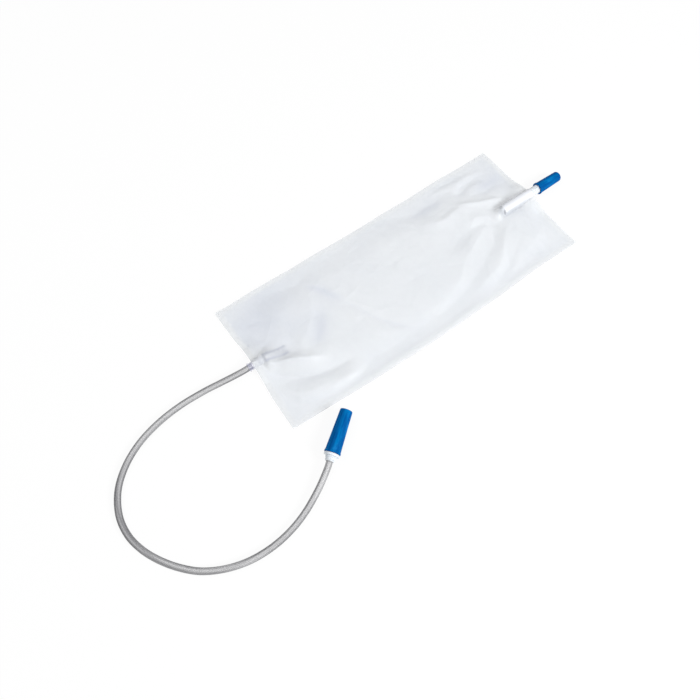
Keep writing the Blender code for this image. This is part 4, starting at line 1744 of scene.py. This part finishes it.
@dataclass
class Studio:
    """White ground, soft lamps and the photograph's camera.

    Attributes:
        place: Where the camera stands.
        right: Direction to the picture's right.
        up: Direction to the picture's top.
        focal_pixels: Focal length in pixels of the picture.
        picture: The picture's width.
        clip: Nearest and farthest distance that the camera sees.
        fill: Strength of the sky's light.
        whitening: Share of the ground's look that is plain white.
    """

    place: Triple = (-0.21928, -0.25745, 0.53837)
    right: Triple = (0.82502, -0.56265, -0.05255)
    up: Triple = (0.53109, 0.74023, 0.41232)
    focal_pixels: float = 600.0
    picture: float = 700.0
    clip: tuple[float, float] = (0.01, 20.0)
    sensor: float = 36.0
    ground: float = 3.0
    ground_gap: float = 0.0002
    fill: float = 0.40
    key_power: float = 23.6
    lamps: tuple[Lamp, ...] = (Lamp("key", (0.50, -1.25, 0.98), 0.5, 1.0), Lamp("top", (-0.45, 0.55, 1.35), 0.9, 0.28))
    whitening: float = 0.92

    def camera(self) -> None:
        """Sets the camera at the photograph's view."""
        data = bpy.data.cameras.new("camera")
        data.sensor_width = self.sensor
        data.lens = self.focal_pixels / self.picture * self.sensor
        data.clip_start, data.clip_end = self.clip
        camera = add_object("camera", data)
        right = Vector(self.right).normalized()
        back = right.cross(Vector(self.up)).normalized()
        axes = Matrix((right, back.cross(right), back)).transposed()
        camera.matrix_world = Matrix.Translation(self.place) @ axes.to_4x4()
        bpy.context.scene.camera = camera

    @staticmethod
    def seen(graph: Graph) -> Wire:
        """Tells the rays that show the background: straight, mirrored or through glass.

        Args:
            graph: The graph that asks.

        Returns:
            1 for those rays and 0 for others.
        """
        names = ("Is Camera Ray", "Is Glossy Ray", "Is Transmission Ray")
        rays = total([graph.add("ShaderNodeLightPath", output=name) for name in names])
        return rays.maths("MINIMUM", rays, 1.0)

    def build_ground(self) -> None:
        """Lays the white ground, which keeps a soft shadow."""
        form = bmesh.new()
        bmesh.ops.create_grid(form, x_segments=1, y_segments=1, size=self.ground)
        bmesh.ops.translate(form, vec=(0, 0, -self.ground_gap), verts=form.verts)
        mesh = bpy.data.meshes.new("ground")
        form.to_mesh(mesh)
        form.free()
        graph = Graph.of_material("ground_paper")
        lit = graph.add("ShaderNodeBsdfDiffuse", None, {"Color": srgb(250, 250, 250)})
        white = graph.add("ShaderNodeEmission", None, {"Color": WHITE, "Strength": 1.0})
        share = self.seen(graph) * self.whitening
        surface = graph.add("ShaderNodeMixShader", None, {0: share, 1: lit, 2: white})
        mesh.materials.append(graph.surface(surface))
        add_object("ground", mesh)

    def build_world(self) -> None:
        """Sets the even sky light and the white background."""
        bpy.context.scene.world = bpy.data.worlds.new("studio")
        graph = Graph(bpy.context.scene.world)
        strength = self.fill + self.seen(graph) * (1 - self.fill)
        sky = graph.add("ShaderNodeBackground", None, {"Color": WHITE, "Strength": strength})
        graph.add("ShaderNodeOutputWorld", None, {"Surface": sky})

    def build(self) -> None:
        """Sets up the ground and the light."""
        self.build_ground()
        self.build_world()
        for lamp in self.lamps:
            lamp.build(self.key_power)
        bpy.context.scene.view_settings.view_transform = "Standard"


# Middle line of the tube from the port's mouth to the connector, on X from the inlet edge
TUBE_ROUTE = (
    (-0.0006, 0.0, 0.0055), (-0.010, 0.0, 0.0055), (-0.022, 0.0012, 0.0049), (-0.036, 0.0032, 0.0038),
    (-0.054, 0.0052, 0.0032), (-0.079, 0.0055, 0.0032), (-0.104, 0.0022, 0.0032), (-0.127, -0.0050, 0.0032),
    (-0.147, -0.0170, 0.0032), (-0.1625, -0.0335, 0.0032), (-0.1712, -0.0540, 0.0032), (-0.1722, -0.0740, 0.0032),
    (-0.1672, -0.0925, 0.0032), (-0.1582, -0.1095, 0.0032), (-0.1465, -0.1248, 0.0032), (-0.1325, -0.1378, 0.0032),
    (-0.1145, -0.1478, 0.0032), (-0.0940, -0.1540, 0.0032), (-0.0725, -0.1556, 0.0032), (-0.0525, -0.1532, 0.0033),
    (-0.0335, -0.1474, 0.0038), (-0.0140, -0.1380, 0.0052), (0.0022, -0.1280, 0.0068),
)


def pouch_vinyl(name: str, alpha: float, weld_alpha: float) -> FilmFinish:
    """Vinyl of the pouch's films."""
    return FilmFinish(name, srgb(233, 237, 242), srgb(215, 221, 232), srgb(234, 237, 240), alpha, weld_alpha)


def white_plastic(name: str) -> MouldedFinish:
    """Plastic of the spout and the connector."""
    return MouldedFinish(name, srgb(223, 229, 235), srgb(214, 221, 228), srgb(234, 238, 242), 0.34, glow=0.7)


def blue_plastic(name: str, turn: float = 0.0) -> MouldedFinish:
    """Plastic of a cap that is turned by an angle about Z."""
    colours = (srgb(0, 110, 176), srgb(0, 80, 146), srgb(34, 130, 198))
    return MouldedFinish(name, *colours, 0.50, gloss=0.02, axis_turn=turn)


@dataclass
class DrainageBag:
    """The whole object: where its sub-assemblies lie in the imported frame, and their finishes.

    Attributes:
        spout_shown: Length of the spout between the pouch and its cap.
        channel_step: Run over which a channel behind the weld takes its radius.
        inlet_drape: Run of the film down from the port on the +Y and on the -Y side.
        outlet_drape: The same at the spout.
        connector_place: Middle of the collar's face, on X from the inlet edge.
        connector_rise: How much its nose points up.
        tail_end: Distance of the tube's end from the collar's face.
    """

    port_height: float = 0.0055
    spout_height: float = 0.0065
    spout_offset: float = -0.002
    spout_shown: float = 0.010
    film: float = 0.0004
    channel_step: float = 0.002
    inlet_drape: tuple[float, float] = (0.014, 0.015)
    outlet_drape: tuple[float, float] = (0.0070, 0.0060)
    connector_place: Triple = (0.0148, -0.1183, 0.0083)
    connector_turn: float = math.radians(37.7)
    connector_rise: float = math.radians(2.5)
    tail_end: float = 0.0017

    def __post_init__(self) -> None:
        """Reads the pouch's outline from the frame, and places what it holds."""
        low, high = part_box("front_film")
        self.inlet_edge, self.outlet_edge, self.half_width = low.x, high.x, high.y
        self.port, self.valve, self.spout, self.connector = InletPort(), FlutterValve(), OutletSpout(), Connector()
        self.collar = Vector((self.inlet_edge, 0.0, 0.0)) + Vector(self.connector_place)
        flat = math.cos(self.connector_rise)
        turn = self.connector_turn
        self.axis = Vector((flat * math.cos(turn), flat * math.sin(turn), math.sin(self.connector_rise)))

    def passages(self) -> tuple[Passage, Passage]:
        """Describes the two places where a pipe goes through the weld.

        Returns:
            The one at the port and the one at the spout.
        """
        around = CLEARANCE + self.film
        channel = self.spout.radius + around
        inlet = Passage(
            edge=self.inlet_edge,
            inward=1.0,
            offset=0.0,
            height=self.port_height,
            radius=self.port.radius + around,
            inner_radius=self.valve.radius + around,
            step=self.channel_step,
            reach=self.port.inside,
            drape=self.inlet_drape,
            crown=lambda depth: self.valve.crown(depth, around),
            sleeve=self.valve.start + self.valve.length - self.port.inside,
        )
        outlet = Passage(
            edge=self.outlet_edge,
            inward=-1.0,
            offset=self.spout_offset,
            height=self.spout_height,
            radius=channel,
            inner_radius=channel,
            step=self.channel_step,
            reach=self.spout.inside,
            drape=self.outlet_drape,
            crown=lambda depth: (self.spout_height + channel, self.spout_offset),
        )
        return inlet, outlet

    def build(self) -> None:
        """Builds every piece in order, from the pouch to the tube."""
        self.build_pouch()
        self.build_outlet()
        self.build_inlet()

    def build_pouch(self) -> None:
        """Builds the films, the valve and the port."""
        pouch = Pouch(self.inlet_edge, self.outlet_edge, self.half_width, self.valve, self.passages(), self.film)
        pouch.build(pouch_vinyl("front_film_vinyl", 0.38, 0.46), pouch_vinyl("back_film_vinyl", 0.13, 0.13))
        colours = (srgb(216, 218, 248), srgb(214, 216, 248), srgb(150, 152, 200))
        vinyl = FilmFinish("valve_vinyl", *colours, 0.07, 0.48, weld_width=0.0015, emboss=0.00002)
        self.valve.build(self.inlet_edge, vinyl)
        vinyl = ClearFinish("port_vinyl", srgb(210, 212, 242), srgb(196, 198, 224), 0.14, 0.25)
        self.port.build(facing((self.inlet_edge, 0.0, self.port_height), (-1, 0, 0)), vinyl)

    def build_outlet(self) -> None:
        """Builds the spout and its cap."""
        frame = facing((self.outlet_edge, self.spout_offset, self.spout_height), (1, 0, 0))
        self.spout.build(frame, white_plastic("spout_white"))
        inside = self.spout.radius + CLEARANCE
        seat = self.spout.tip - self.spout_shown + CLEARANCE
        floor = (Corner(0.0040, 0.0285, 0.0006), Corner(0.0, 0.0285))
        cap = PushOnCap(
            name="cap_outlet",
            node="outlet_cap",
            body=Body.OUTLET_CAP,
            length=0.030,
            mouth=0.0124,
            end=0.0108,
            rounding=0.0022,
            cavity=(Corner(inside, 0.0, 0.0003), Corner(inside, seat), *floor),
        )
        frame = facing((self.outlet_edge + self.spout_shown, self.spout_offset, self.spout_height), (1, 0, 0))
        cap.build(frame, blue_plastic("outlet_cap_blue"))

    def build_inlet(self) -> None:
        """Builds the inlet cap, the connector, and the tube between the port and the connector."""
        cap = PushOnCap(
            name="cap_inlet",
            node="inlet_cap",
            body=Body.INLET_CAP,
            length=0.042,
            mouth=0.0149,
            end=0.0118,
            rounding=0.0009,
            cavity=(Corner(0.00615, 0.0, 0.0003), Corner(0.004655, 0.0405, 0.0006), Corner(0.0, 0.0405)),
        )
        blue = blue_plastic("inlet_cap_blue", self.connector_turn)
        cap_piece = cap.build(facing(self.collar + self.axis * CLEARANCE, self.axis), blue)
        connector = self.connector.build(facing(self.collar, self.axis), white_plastic("connector_white"))
        start = Vector((self.inlet_edge, 0.0, 0.0))
        ends = (self.connector.tail(), self.tail_end)
        route = [*(start + Vector(point) for point in TUBE_ROUTE), *(self.collar - self.axis * end for end in ends)]
        vinyl = ClearFinish(
            "tube_vinyl",
            srgb(212, 212, 214),
            srgb(112, 112, 115),
            alpha=0.28,
            wall_alpha=0.80,
            thick_alpha=0.46,
            shade=0.52,
            streaking=0.75,
            roughness=0.30,
        )
        exit_point = (self.inlet_edge - self.port.proud, 0.0, self.port_height)
        DrainageTube(route).build(exit_point, vinyl, (connector, cap_piece))


def main() -> None:
    """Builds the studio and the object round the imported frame."""
    logging.basicConfig(level=logging.INFO, format="%(name)s: %(message)s")
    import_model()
    studio = Studio()
    studio.camera()
    DrainageBag().build()
    studio.build()


if __name__ == "__main__":
    main()
